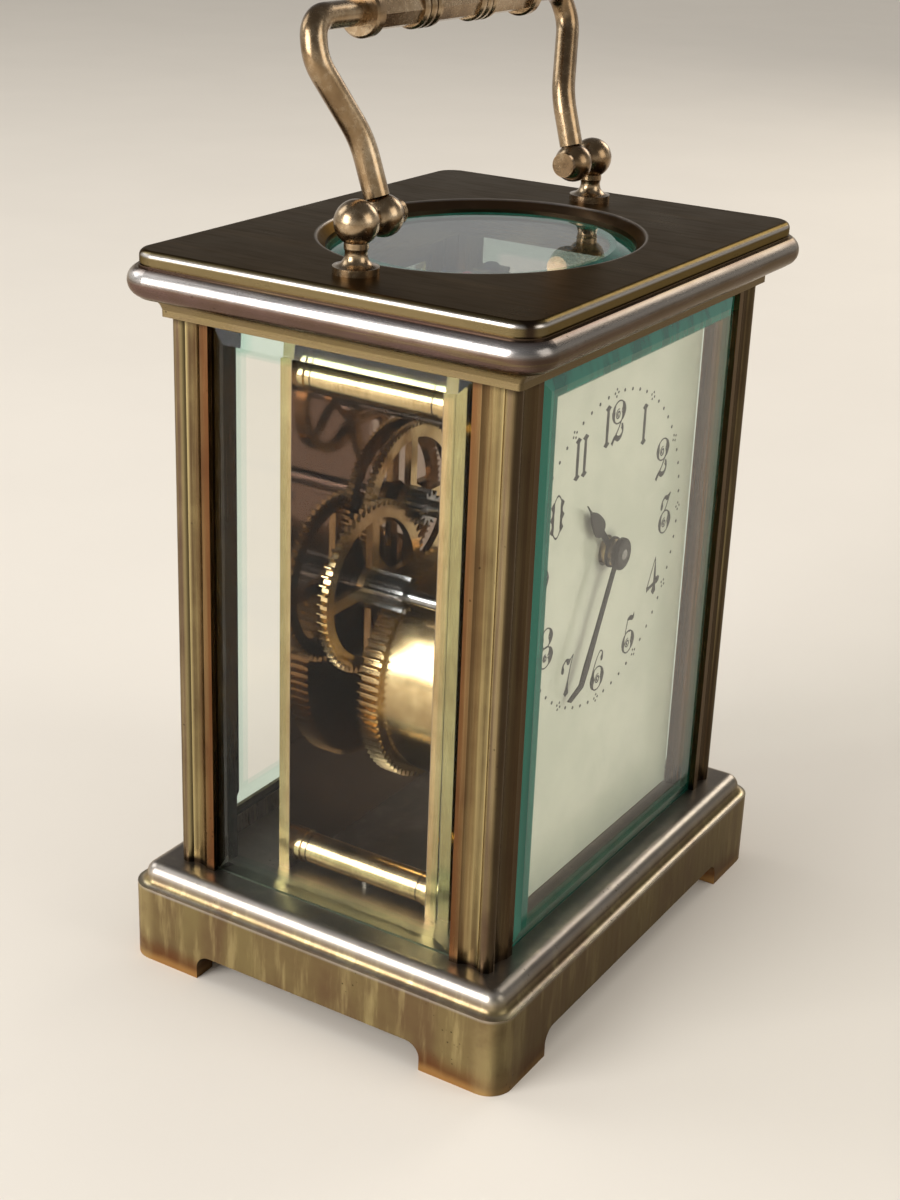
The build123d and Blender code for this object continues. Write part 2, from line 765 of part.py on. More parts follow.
# Each wheel starts with a tooth where its driver has a gap
intermediate_phase = mesh_phase(barrel, barrel_teeth, 0, intermediate, intermediate_leaves)
centre_phase = mesh_phase(intermediate, intermediate_teeth, 0, centre, centre_leaves)
third_phase = mesh_phase(centre, centre_teeth, 0, third, third_leaves)
contrate_phase = mesh_phase(third, third_teeth, 0, contrate, contrate_leaves)

platform_screw_radius = 0.6
platform_screw_grip = 4.0
click_reach = 5.2
click_pivot_x = -8.0
click_place = (click_pivot_x, barrel[1] + click_reach)
stud_radius = 0.7
dial_post_heights = (dial_low + low_dial_post_rise, dial_high - high_dial_post_drop)
dial_posts = [
    (side * (dial_half_width - dial_post_inset), height) for side in (-1, 1) for height in dial_post_heights
]
dial_post_pin = 0.7

plate_holes = {
    "back_plate": [
        (barrel, barrel_pivot), (intermediate, intermediate_pivot), (centre, centre_pivot),
        (third, third_pivot), (contrate, contrate_pivot), (click_place, plate_screw_radius - pivot_play),
    ],
    "front_plate": [
        (barrel, barrel_pivot), (intermediate, intermediate_pivot), (centre, hand_arbor_radius),
        (third, third_pivot), (contrate, contrate_pivot), (minute_stud, stud_radius - pivot_play),
    ] + [(spot, dial_post_pin - pivot_play) for spot in dial_posts],
}
for label, back in (("back_plate", back_outer), ("front_plate", front_inner)):
    with BuildPart() as plate:
        with BuildSketch(facing(back)):
            with Locations((0, (seat_height + plate_top) / 2)):
                Rectangle(2 * plate_half_width, plate_top - seat_height)
        extrude(amount=plate_thickness)
        for spot, radius in plate_holes[label] + [(spot, plate_screw_radius) for spot in posts]:
            rod(spot, back, back - plate_thickness, radius + pivot_play, Mode.SUBTRACT)
        for x in platform_screws_x:
            spot = (x, back - plate_thickness / 2)
            stem(spot, plate_top - platform_screw_grip, plate_top, platform_screw_radius, Mode.SUBTRACT)
    finish(plate, label)

screw_grip = 5.0
ratchet_back = back_outer + pivot_play
ratchet_thickness = 1.15
minute_wheel_room = 1.2
hour_wheel_gap = 0.7
minute_stud_gap = 0.4
minute_wheel_y = front_outer - minute_wheel_room
hour_wheel_y = minute_wheel_y - wheel_thickness - hour_wheel_gap
minute_stud_end = hour_wheel_y - wheel_thickness - minute_stud_gap
with BuildPart() as plate_screws:
    for spot in posts:
        for face, way in ((back_outer, 1), (front_outer, -1)):
            ends = (face + way * screw_head_height, face, face - way * (plate_thickness + screw_grip))
            rod(spot, max(ends[:2]), min(ends[:2]), screw_head_radius)
            rod(spot, max(ends[1:]), min(ends[1:]), plate_screw_radius)
    click_top = ratchet_back + ratchet_thickness + pivot_play
    rod(click_place, click_top, back_inner, plate_screw_radius)
    rod(click_place, click_top + screw_head_height, click_top, screw_head_radius)
    rod(minute_stud, front_inner, minute_stud_end, stud_radius)
finish(plate_screws, "plate_screws")

# Going barrel: teeth and drum in one piece, a sprung-in cover, and the spring between them
drum_inner = drum_radius - drum_wall
drum_front = barrel_teeth_y - barrel_length
cover_step = 0.3
with BuildPart() as barrel_drum:
    with BuildSketch(facing(barrel_teeth_y)):
        toothed(barrel, barrel_teeth, great_module, 0, wheel_form)
    extrude(amount=barrel_face)
    rod(barrel, barrel_teeth_y, drum_front, drum_radius)
    rod(barrel, barrel_teeth_y - barrel_cover_thickness, drum_front, drum_inner, Mode.SUBTRACT)
    rod(barrel, drum_front + barrel_cover_thickness, drum_front, drum_inner + cover_step, Mode.SUBTRACT)
    rod(barrel, barrel_teeth_y, drum_front, barrel_bearing + pivot_play, Mode.SUBTRACT)
finish(barrel_drum, "barrel_drum")

with BuildPart() as barrel_cover:
    rod(barrel, drum_front + barrel_cover_thickness, drum_front, drum_inner + cover_step)
    rod(barrel, drum_front + barrel_cover_thickness, drum_front, barrel_bearing + pivot_play, Mode.SUBTRACT)
finish(barrel_cover, "barrel_cover")


def spiral(origin, start, pitch, turns, band):
    """A flat coil drawn with half circles, each half a pitch wider than the one before."""
    with BuildLine() as outline:
        for index in range(2 * turns):
            middle = (origin[0] + pitch / 2 * (index % 2), origin[1])
            for edge in (-band / 2, band / 2):
                CenterArc(middle, start + index * pitch / 2 + edge, 180 * index, 180)
        for reach in (start, start + turns * pitch):
            Line((origin[0] + reach - band / 2, origin[1]), (origin[0] + reach + band / 2, origin[1]))
    make_face(outline.edges())


mainspring_turns = 3
mainspring_band = 0.45
mainspring_start = barrel_core + 0.5
mainspring_pitch = (drum_inner - mainspring_band / 2 - mainspring_start) / mainspring_turns
mainspring_margin = 0.5
with BuildPart() as mainspring:
    with BuildSketch(facing(barrel_teeth_y - barrel_cover_thickness - mainspring_margin)):
        spiral(barrel, mainspring_start, mainspring_pitch, mainspring_turns, mainspring_band)
    extrude(amount=barrel_length - 2 * (barrel_cover_thickness + mainspring_margin))
finish(mainspring, "mainspring")

with BuildPart() as barrel_arbor:
    core_back = barrel_teeth_y - barrel_cover_thickness - end_play
    rod(barrel, back_outer, front_outer, barrel_pivot)
    rod(barrel, back_inner - end_play, front_inner + end_play, barrel_bearing)
    rod(barrel, core_back, drum_front + barrel_cover_thickness + end_play, barrel_core)
    squared(barrel, winding_square_y, back_outer, winding_square)
finish(barrel_arbor, "barrel_arbor")

with BuildPart() as intermediate_arbor:
    arbor(intermediate, intermediate_radius, intermediate_pivot)
    pinion_back = intermediate_wheel_y - wheel_thickness
    pinion_front = barrel_teeth_y - barrel_face - great_overlap
    leaves(intermediate, intermediate_leaves, great_module, intermediate_phase, pinion_back, pinion_front)
finish(intermediate_arbor, "intermediate_arbor")
intermediate_hub = 3.2
intermediate_form = (intermediate_teeth, intermediate_module, 0, intermediate_wheel_y)
wheel = crossed_wheel(intermediate, *intermediate_form, 4, intermediate_hub, intermediate_radius)
finish(wheel, "intermediate_wheel")

with BuildPart() as centre_arbor:
    rod(centre, back_outer, back_inner - end_play, centre_pivot)
    rod(centre, back_inner - end_play, front_inner + end_play, centre_radius)
    rod(centre, front_inner + end_play, hand_end_y, hand_arbor_radius)
    squared(centre, setting_square_y, back_outer, setting_square)
    pinion_back = centre_wheel_y - wheel_thickness
    pinion_front = pinion_back - centre_pinion_length
    leaves(centre, centre_leaves, intermediate_module, centre_phase, pinion_back, pinion_front)
finish(centre_arbor, "centre_arbor")
centre_hub = 2.9
wheel = crossed_wheel(centre, centre_teeth, centre_module, 0, centre_wheel_y, 4, centre_hub, centre_radius)
finish(wheel, "centre_wheel")

with BuildPart() as third_arbor:
    arbor(third, third_radius, third_pivot)
    pinion_back = centre_wheel_y + third_pinion_laps[0]
    pinion_front = centre_wheel_y - wheel_thickness - third_pinion_laps[1]
    leaves(third, third_leaves, centre_module, third_phase, pinion_back, pinion_front)
finish(third_arbor, "third_arbor")
third_hub = 1.7
third_rim = 1.3
wheel = crossed_wheel(
    third, third_teeth, third_module, 0, third_wheel_y, 4, third_hub, third_radius, third_rim
)
finish(wheel, "third_wheel")

with BuildPart() as contrate_arbor:
    arbor(contrate, contrate_radius, contrate_pivot)
    pinion_back = third_wheel_y + contrate_pinion_laps[0]
    pinion_front = third_wheel_y - wheel_thickness - contrate_pinion_laps[1]
    leaves(contrate, contrate_leaves, third_module, contrate_phase, pinion_back, pinion_front)
finish(contrate_arbor, "contrate_arbor")

crown_outer = 8.0
crown_inner = 6.9
crown_disc = 0.9
crown_rim = 1.6
crown_tip = 2.2
crown_tooth = 0.26
crown_hub = 1.6
crown_arm = 1.0
with BuildPart() as contrate_wheel:
    back = contrate_wheel_y
    with BuildSketch(facing(back)):
        with Locations(contrate):
            Circle(crown_outer)
            Circle(crown_inner - 0.3, mode=Mode.SUBTRACT)
            Circle(crown_hub)
            with PolarLocations((crown_inner + crown_hub) / 2, 4, start_angle=45):
                Rectangle(crown_inner - crown_hub + 0.4, crown_arm)
            Circle(contrate_radius, mode=Mode.SUBTRACT)
    extrude(amount=crown_disc)
    with BuildSketch(facing(back)):
        with Locations(contrate):
            Circle(crown_outer)
            Circle(crown_inner, mode=Mode.SUBTRACT)
    extrude(amount=crown_rim)
    with BuildSketch(facing(back - crown_rim)):
        with Locations(contrate):
            with PolarLocations((crown_inner + crown_outer) / 2, contrate_teeth, start_angle=90):
                Rectangle(crown_outer - crown_inner - 0.1, crown_tooth)
    extrude(amount=crown_tip - crown_rim)
finish(contrate_wheel, "contrate_wheel")

# Winding work on the back plate
ratchet_teeth = 24
ratchet_tip = 5.6
ratchet_root = 4.9
ratchet_points = []
for index in range(ratchet_teeth):
    angle = 2 * pi * index / ratchet_teeth
    ratchet_points.append(place(barrel, ratchet_tip, angle))
    ratchet_points.append(place(barrel, ratchet_root, angle))
with BuildPart() as ratchet_wheel:
    with BuildSketch(facing(ratchet_back + ratchet_thickness)):
        with BuildLine():
            Polyline(*ratchet_points, close=True)
        make_face()
        with Locations(barrel):
            Rectangle(winding_square, winding_square, mode=Mode.SUBTRACT)
    extrude(amount=ratchet_thickness)
finish(ratchet_wheel, "ratchet_wheel")

# The click stands with its nose against the steep side of the topmost tooth
nose_gap = 0.05
nose_depth = 0.6
click_boss = 1.5
nose_top = barrel[1] + ratchet_tip
click_points = [
    (-nose_gap, nose_top), (-nose_gap, nose_top - nose_depth), (-1.5, nose_top),
    (click_pivot_x + 0.8, click_place[1] - 1.2), (click_pivot_x + 0.8, click_place[1] + 1.2),
    (-1.8, nose_top + 1.3),
]
tail_reach = 2.6
with BuildPart() as click:
    with BuildSketch(facing(ratchet_back + ratchet_thickness)):
        with BuildLine():
            Polyline(*click_points, close=True)
        make_face()
        with Locations(click_place):
            Circle(click_boss)
            Rectangle(tail_reach, 1.2, align=(Align.MAX, Align.CENTER))
            Circle(plate_screw_radius + pivot_play, mode=Mode.SUBTRACT)
    extrude(amount=ratchet_thickness)
finish(click, "click")

# A bent leaf that stands on the back plate under the tail of the click
leaf_thickness = 0.35
leaf_width = 1.0
with BuildPart() as click_spring:
    tip = (click_place[0] - tail_reach + 0.6, click_place[1] - 1.2)
    foot = (tip[0] - 3.0, tip[1] - 9.0)
    with BuildSketch(facing(back_outer + leaf_width + 0.2)):
        with BuildLine():
            for shift in (-leaf_thickness / 2, leaf_thickness / 2):
                ThreePointArc(
                    (foot[0] + shift, foot[1]), (foot[0] + shift - 0.6, (foot[1] + tip[1]) / 2),
                    (tip[0] + shift, tip[1]),
                )
            for end in (foot, tip):
                Line((end[0] - leaf_thickness / 2, end[1]), (end[0] + leaf_thickness / 2, end[1]))
        make_face()
    extrude(amount=leaf_width)
    rod(foot, back_outer + leaf_width + 0.4, back_outer, 1.3)
finish(click_spring, "click_spring")

# Platform, its screws, and the cocks that stand on it
platform_low = plate_top
platform_top = platform_low + platform_thickness
platform_y = back_outer
escape_spot = (contrate[0], escape_y)
lever_spot = (lever_x, escape_y)
balance_spot = (balance_x, escape_y)
escape_clear = 1.6
jewel = 0.3
cock_thickness = 1.0

# The foot of each cock, from left to right and from front to back, with its screw in the middle
escape_post = (escape_radius + 1.4, escape_radius + 4.8, escape_y + 3.2, escape_y + 7.2)
lever_post = (lever_x - 1.27, lever_x + 1.13, escape_y - 8.4, escape_y - 4.8)
balance_post_half = 3.2
balance_post = (
    balance_post_x - balance_post_length, balance_post_x, escape_y - balance_post_half,
    escape_y + balance_post_half,
)
cock_posts = (escape_post, lever_post, balance_post)
cock_screws = [((left + right) / 2, (front + back) / 2) for left, right, front, back in cock_posts]
cock_screw_radius = 0.5

with BuildPart() as platform_plate:
    with BuildSketch(level(platform_low)):
        with Locations(((platform_left + platform_right) / 2, 0)):
            Rectangle(platform_right - platform_left, 2 * platform_y)
    extrude(amount=platform_thickness)
    stem(escape_spot, platform_low, platform_top, escape_clear, Mode.SUBTRACT)
    for spot in (lever_spot, balance_spot):
        stem(spot, platform_top - 1, platform_top, jewel + pivot_play, Mode.SUBTRACT)
    for x in platform_screws_x:
        for side in (-1, 1):
            spot = (x, side * (back_outer - plate_thickness / 2))
            stem(spot, platform_low, platform_top, platform_screw_radius + pivot_play, Mode.SUBTRACT)
    for spot in cock_screws:
        stem(spot, platform_low, platform_top, cock_screw_radius, Mode.SUBTRACT)
finish(platform_plate, "platform_plate")

# The potence hangs from the platform and carries the foot of the escape arbor
escape_pinion_room = 5.5
escape_pinion_length = 3.2
potence_room = 1.8
potence_arm = 1.2
potence_left = -1.2
potence_inner = 3.5
potence_right = 6.0
potence_boss = 1.1
potence_foot_length = 5.0
potence_foot_thickness = 1.5
escape_pinion_low = contrate[1] + escape_pinion_room
potence_low = escape_pinion_low - potence_room
potence_front = escape_y - 2.6
potence_back = escape_y + 0.2
with BuildPart() as potence:
    column_x = (potence_inner + potence_right) / 2
    column_width = potence_right - potence_inner
    with BuildSketch(level(potence_low)):
        with Locations((column_x, (potence_front + escape_y) / 2)):
            Rectangle(column_width, escape_y - potence_front)
    extrude(amount=platform_low - potence_low)
    with BuildSketch(level(potence_low)):
        with Locations(((potence_left + potence_right) / 2, (potence_front + potence_back) / 2)):
            Rectangle(potence_right - potence_left, potence_back - potence_front)
        with Locations(escape_spot):
            Circle(potence_boss)
    extrude(amount=potence_arm)
    with BuildSketch(level(platform_low)):
        with Locations((column_x, escape_y - potence_foot_length / 2)):
            Rectangle(column_width, potence_foot_length)
    extrude(amount=-potence_foot_thickness)
    stem(escape_spot, potence_low, potence_low + potence_arm, jewel + pivot_play, Mode.SUBTRACT)
finish(potence, "potence")

escape_wheel_rise = 1.0
escape_wheel_thickness = 0.35
escape_cock_rise = 2.6
escape_arbor_radius = 0.5
escape_wheel_low = platform_top + escape_wheel_rise
escape_cock_low = platform_top + escape_cock_rise
with BuildPart() as escape_arbor:
    stem(escape_spot, potence_low + 0.2, escape_cock_low + cock_thickness - 0.2, jewel)
    shoulder = potence_low + potence_arm + pivot_play
    stem(escape_spot, shoulder, escape_cock_low - pivot_play, escape_arbor_radius)
    with BuildSketch(level(escape_pinion_low)):
        toothed(escape_spot, escape_leaves, escape_module, pi / 2 + pi / escape_leaves, leaf_form)
    extrude(amount=escape_pinion_length)
finish(escape_arbor, "escape_arbor")

escape_rim = 2.3
escape_hub = 1.0
escape_arm = 0.4
escape_points = []
for index in range(escape_teeth):
    angle = 2 * pi * index / escape_teeth
    escape_points.append(place(escape_spot, escape_rim, angle - 0.16))
    escape_points.append(place(escape_spot, escape_radius, angle))
    escape_points.append(place(escape_spot, escape_radius - 0.08, angle + 0.06))
    escape_points.append(place(escape_spot, escape_rim, angle + 0.02))
with BuildPart() as escape_wheel:
    with BuildSketch(level(escape_wheel_low)):
        with BuildLine():
            Polyline(*escape_points, close=True)
        make_face()
        with Locations(escape_spot):
            Circle(escape_rim - 0.5, mode=Mode.SUBTRACT)
            Circle(escape_hub)
            with PolarLocations((escape_rim + escape_hub) / 2 - 0.2, 4):
                Rectangle(escape_rim - escape_hub, escape_arm)
            Circle(escape_arbor_radius, mode=Mode.SUBTRACT)
    extrude(amount=escape_wheel_thickness)
finish(escape_wheel, "escape_wheel")


def cock(outline, low, post, boss_spot, boss_radius, screw_spot):
    """A bracket on the platform: a block under one end of its arm and a jewel hole at the other."""
    with BuildPart() as bracket:
        with BuildSketch(level(low)):
            with BuildLine():
                Polyline(*outline, close=True)
            make_face()
            with Locations(boss_spot):
                Circle(boss_radius)
        extrude(amount=cock_thickness)
        with BuildSketch(level(platform_top)):
            with Locations(((post[0] + post[1]) / 2, (post[2] + post[3]) / 2)):
                Rectangle(post[1] - post[0], post[3] - post[2])
        extrude(amount=low + cock_thickness - platform_top)
        stem(boss_spot, low, low + cock_thickness, jewel + pivot_play, Mode.SUBTRACT)
        stem(screw_spot, platform_top, low + cock_thickness, cock_screw_radius + pivot_play, Mode.SUBTRACT)
    return bracket


escape_boss = 1.1
left, right, front, back = escape_post
escape_arm_points = [
    (0, escape_y - 1), (right, front), (right, back), (left, back), (0, escape_y + 1),
]
escape_cock = cock(escape_arm_points, escape_cock_low, escape_post, escape_spot, escape_boss, cock_screws[0])
finish(escape_cock, "escape_cock")
lever_boss = 0.9
lever_cock_rise = 1.8
lever_cock_low = platform_top + lever_cock_rise
left, right, front, back = lever_post
lever_arm_points = [(left, front), (right, front), (lever_x + 0.73, escape_y), (lever_x - 0.77, escape_y)]
lever_cock = cock(lever_arm_points, lever_cock_low, lever_post, lever_spot, lever_boss, cock_screws[1])
finish(lever_cock, "lever_cock")

# The lever: an anchor round the escape wheel at one end and a fork for the balance at the other
lever_low = escape_wheel_low
lever_thickness = 0.4
lever_arbor = 0.4
lever_hub = lever_gap - 0.11
pallet_clear = 0.28
pallet_span = radians(30)
impulse_reach = 1.2
impulse_radius = 0.2
fork_clear = 0.35
fork_reach = balance_offset - impulse_reach - fork_clear
fork_gap = 0.28
fork_wall = 0.35
fork_depth = 1.1
pallets = [place(escape_spot, escape_radius + pallet_clear, pi + side * pallet_span) for side in (-1, 1)]
with BuildPart() as lever:
    with BuildSketch(level(lever_low)):
        with Locations(lever_spot):
            Circle(lever_hub)
        for spot, side in zip(pallets, (1, -1)):
            with BuildLine():
                Polyline(
                    (lever_x - 0.4, escape_y + side * 0.4), (lever_x + 0.2, escape_y + side * 2.4),
                    (spot[0] + 0.1, spot[1] + side * 0.8), (spot[0] - 0.1, spot[1]),
                    (lever_x + 0.35, escape_y + side * 0.4), close=True,
                )
            make_face()
        with Locations((lever_spot[0] - fork_reach / 2, escape_y)):
            Rectangle(fork_reach, 2 * (fork_gap + fork_wall))
            with Locations((-fork_reach / 2, 0)):
                Rectangle(2 * fork_depth, 2 * fork_gap, mode=Mode.SUBTRACT)
    extrude(amount=lever_thickness)
    stem(lever_spot, platform_top + end_play, lever_cock_low - pivot_play, lever_arbor)
    stem(lever_spot, platform_top - 0.8, lever_cock_low + cock_thickness - 0.2, jewel)
finish(lever, "lever")

# Balance, with its rim on two arms, and the staff with the roller and impulse pin
balance_rise = 3.1
balance_thickness = 0.8
balance_rim = 0.9
balance_arm = 1.0
balance_hub = 1.1
staff_radius = 0.45
roller_gap = 0.3
roller_radius = 1.6
roller_thickness = 0.4
balance_cock_rise = 4.8
balance_low = platform_top + balance_rise
roller_low = lever_low + lever_thickness + roller_gap
balance_cock_low = platform_top + balance_cock_rise
with BuildPart() as balance_wheel:
    with BuildSketch(level(balance_low)):
        with Locations(balance_spot):
            Circle(balance_radius)
            Circle(balance_radius - balance_rim, mode=Mode.SUBTRACT)
            Rectangle(2 * balance_radius - balance_rim, balance_arm)
            Circle(balance_hub)
            Circle(staff_radius, mode=Mode.SUBTRACT)
    extrude(amount=balance_thickness)
finish(balance_wheel, "balance_wheel")

with BuildPart() as balance_staff:
    stem(balance_spot, platform_top - 0.8, balance_cock_low + cock_thickness - 0.2, jewel)
    stem(balance_spot, platform_top + end_play, balance_cock_low - end_play, staff_radius)
    stem(balance_spot, roller_low, roller_low + roller_thickness, roller_radius)
    pin_spot = (balance_spot[0] + impulse_reach, escape_y)
    stem(pin_spot, lever_low, roller_low, impulse_radius)
finish(balance_staff, "balance_staff")

hairspring_gap = 0.25
hairspring_height = 0.3
hairspring_low = balance_low + balance_thickness + hairspring_gap
hairspring_start = 0.9
hairspring_end = hairspring_start + hairspring_turns * hairspring_pitch
print("hairspring clear between turns", hairspring_pitch - hairspring_band)
with BuildPart() as hairspring:
    with BuildSketch(level(hairspring_low)):
        spiral(balance_spot, hairspring_start, hairspring_pitch, hairspring_turns, hairspring_band)
    extrude(amount=hairspring_height)
finish(hairspring, "hairspring")

cock_tip_half = 1.5
cock_boss = 2.2
stud_arm = 1.2
stud_length = 0.6
stud_width = 0.8
index_seat = 1.3
index_seat_height = 0.5
index_low = balance_cock_low + cock_thickness
with BuildPart() as balance_cock:
    left, right, front, back = balance_post
    with BuildSketch(level(platform_top)):
        with Locations(((left + right) / 2, escape_y)):
            Rectangle(right - left, back - front)
    extrude(amount=balance_cock_low - platform_top)
    with BuildSketch(level(balance_cock_low)):
        with BuildLine():
            Polyline(
                (left, front), (right, front), (balance_x, escape_y - cock_tip_half),
                (balance_x, escape_y + cock_tip_half), (right, back), (left, back), close=True,
            )
        make_face()
        with Locations(balance_spot):
            Circle(cock_boss)
        with Locations((balance_x + hairspring_end / 2, escape_y)):
            Rectangle(hairspring_end, stud_arm)
    extrude(amount=cock_thickness)
    with BuildSketch(level(hairspring_low)):
        with Locations((balance_x + hairspring_end + stud_length / 2, escape_y)):
            Rectangle(stud_length, stud_width)
    extrude(amount=index_low - hairspring_low)
    stem(balance_spot, index_low, index_low + index_seat_height, index_seat)
    stem(balance_spot, balance_cock_low, index_low + index_seat_height, jewel + pivot_play, Mode.SUBTRACT)
    stem(cock_screws[2], platform_top, index_low, cock_screw_radius + pivot_play, Mode.SUBTRACT)
finish(balance_cock, "balance_cock")

index_ring = 2.1
index_root = 1.9
index_reach = 5.6
index_thickness = 0.4
with BuildPart() as regulator_index:
    with BuildSketch(level(index_low)):
        with Locations(balance_spot):
            Circle(index_ring)
        with BuildLine():
            index_form = ((index_root, 100), (index_reach, 120), (index_root, 140))
            tail = [place(balance_spot, reach, radians(angle)) for reach, angle in index_form]
            Polyline(*tail, balance_spot, close=True)
        make_face()
        with Locations(balance_spot):
            Circle(index_seat + pivot_play, mode=Mode.SUBTRACT)
    extrude(amount=index_thickness)
finish(regulator_index, "regulator_index")

platform_screw_head = 1.2
platform_screw_rise = 0.9
cock_screw_head = 1.0
cock_screw_rise = 0.6
with BuildPart() as platform_screws:
    for x in platform_screws_x:
        for side in (-1, 1):
            spot = (x, side * (back_outer - plate_thickness / 2))
            stem(spot, platform_low - platform_screw_grip + end_play, platform_top, platform_screw_radius)
            stem(spot, platform_top, platform_top + platform_screw_rise, platform_screw_head)
    for spot, low in zip(cock_screws, (escape_cock_low, lever_cock_low, balance_cock_low)):
        top = low + cock_thickness
        stem(spot, platform_low, top, cock_screw_radius)
        stem(spot, top, top + cock_screw_rise, cock_screw_head)
finish(platform_screws, "platform_screws")

# Motion work under the dial
hour_module = 2 * motion_gap / (minute_leaves + hour_teeth)
cannon_pipe = 1.3
cannon_room = 0.5
cannon_laps = (0.2, 0.1)
stud_shows = 0.2
cannon_back = front_outer - cannon_room
hour_pipe = 1.8
minute_phase = mesh_phase(centre, cannon_leaves, 0, minute_stud, minute_teeth)
hour_phase = mesh_phase(minute_stud, minute_leaves, 0, centre, hour_teeth)
with BuildPart() as cannon_pinion:
    rod(centre, cannon_back, minute_hand_y - hand_thickness, cannon_pipe)
    pinion_back = minute_wheel_y + cannon_laps[0]
    pinion_front = minute_wheel_y - wheel_thickness - cannon_laps[1]
    leaves(centre, cannon_leaves, motion_module, 0, pinion_back, pinion_front)
    rod(centre, cannon_back, minute_hand_y - hand_thickness, hand_arbor_radius, Mode.SUBTRACT)
finish(cannon_pinion, "cannon_pinion")

with BuildPart() as minute_wheel:
    with BuildSketch(facing(minute_wheel_y)):
        toothed(minute_stud, minute_teeth, motion_module, minute_phase, wheel_form)
    extrude(amount=wheel_thickness)
    pinion_back = minute_wheel_y - wheel_thickness
    leaves(minute_stud, minute_leaves, hour_module, 0, pinion_back, minute_stud_end + stud_shows)
    rod(minute_stud, minute_wheel_y, minute_stud_end, stud_radius + pivot_play, Mode.SUBTRACT)
finish(minute_wheel, "minute_wheel")

with BuildPart() as hour_wheel:
    with BuildSketch(facing(hour_wheel_y)):
        toothed(centre, hour_teeth, hour_module, hour_phase, wheel_form)
    extrude(amount=wheel_thickness)
    rod(centre, hour_wheel_y, hour_hand_y - hand_thickness, hour_pipe)
    rod(centre, hour_wheel_y, hour_hand_y - hand_thickness, cannon_pipe + pivot_play, Mode.SUBTRACT)
finish(hour_wheel, "hour_wheel")

# Dial on its brass backing, which stands off the front plate on four feet
dial_hole = 2.2
dial_post_radius = 1.3
backing_half_width = inner_x - backing_side_gap
backing_low = seat_height + backing_low_gap
backing_high = plate_top
backing_thickness = 1.0
with BuildPart() as dial:
    with BuildSketch(facing(dial_face_y + dial_thickness)):
        with Locations((0, (dial_low + dial_high) / 2)):
            Rectangle(2 * dial_half_width, dial_high - dial_low)
    extrude(amount=dial_thickness)
    rod(centre, dial_face_y + dial_thickness, dial_face_y, dial_hole, Mode.SUBTRACT)
finish(dial, "dial")

with BuildPart() as dial_backing:
    backing_y = dial_face_y + dial_thickness + backing_thickness
    with BuildSketch(facing(backing_y)):
        with Locations((0, (backing_low + backing_high) / 2)):
            Rectangle(2 * backing_half_width, backing_high - backing_low)
    extrude(amount=backing_thickness)
    rod(centre, backing_y, backing_y - backing_thickness, dial_hole, Mode.SUBTRACT)
    for spot in dial_posts:
        rod(spot, front_outer, backing_y, dial_post_radius)
        rod(spot, front_inner, front_outer, dial_post_pin)
finish(dial_backing, "dial_backing")


def hand_planes(back, turns):
    """The face plane of a hand, with its length along local X, and the plane of its side view."""
    angle = 2 * pi * turns
    along = (sin(angle), 0, cos(angle))
    across = (-cos(angle), 0, sin(angle))
    face = Plane((0, back, centre_height), x_dir=along, z_dir=(0, -1, 0))
    side = Plane((0, 0, centre_height), x_dir=along, z_dir=across)
    return face, side


hour_face, _ = hand_planes(hour_hand_y, shown_hours / 12)
pear_start = 0.42 * hour_length
pear_wide = 0.60 * hour_length
pear_half = 1.3
hour_boss = 2.2
hour_stem = 0.9
with BuildPart() as hour_hand:
    with BuildSketch(hour_face):
        Circle(hour_boss)
        Rectangle(pear_start + 0.5, hour_stem, align=(Align.MIN, Align.CENTER))
        with BuildLine():
            for way in (-1, 1):
                Spline(
                    (pear_start, 0), (pear_wide - 0.3, way * pear_half), (0.80 * hour_length, way * 0.5),
                    (hour_length, 0.0), tangents=((0, way), (1, 0)),
                )
        make_face()
        Circle(hour_pipe, mode=Mode.SUBTRACT)
    extrude(amount=hand_thickness)
finish(hour_hand, "hour_hand")

minute_face, minute_side = hand_planes(minute_hand_y, shown_hours)
bend_length = 2.7
bend_back = 1.1
bend_start = minute_length - bend_length
bend_overlap = 3.0
minute_boss = 2.0
minute_edge = [(0, 0.48), (0.5, 0.5), (0.76, 0.72), (1, 0.42)]
with BuildPart() as minute_hand:
    with BuildSketch(minute_face):
        Circle(minute_boss)
        with BuildLine():
            upper = [(share * minute_length, half) for share, half in minute_edge]
            lower = [(reach, -half) for reach, half in reversed(upper)]
            Polyline(*upper, *lower, close=True)
        make_face()
        Circle(cannon_pipe, mode=Mode.SUBTRACT)
    extrude(amount=hand_thickness)
    extrude(minute_hand.faces().sort_by(Axis.Y)[-1], amount=bend_back)
    with BuildSketch(minute_side):
        with BuildLine():
            front = minute_hand_y - hand_thickness
            Polyline(
                (-bend_overlap, minute_hand_y), (bend_start, minute_hand_y),
                (minute_length, minute_hand_y + bend_back), (minute_length, minute_hand_y + bend_back - 0.33),
                (bend_start + 0.1, front), (-bend_overlap, front), close=True,
            )
        make_face()
    extrude(amount=bend_overlap, both=True, mode=Mode.INTERSECT)
finish(minute_hand, "minute_hand")

collet_radius = 2.3
collet_round = 0.4
with BuildPart() as hand_collet:
    collet_back = minute_hand_y - hand_thickness
    rod(centre, collet_back, collet_back - collet_thickness, collet_radius)
    fillet(hand_collet.faces().sort_by(Axis.Y)[0].edges(), collet_round)
    rod(centre, collet_back, collet_back - collet_thickness, hand_arbor_radius, Mode.SUBTRACT)
finish(hand_collet, "hand_collet")
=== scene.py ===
"""Finishes, dial print and small fittings of a glazed travelling clock, built around its packed model."""

import json
from math import atan2, cos, pi, radians, sin

import bmesh
import bpy
from bpy.props import FloatProperty, FloatVectorProperty, IntProperty, PointerProperty
from mathutils import Matrix, Quaternion, Vector


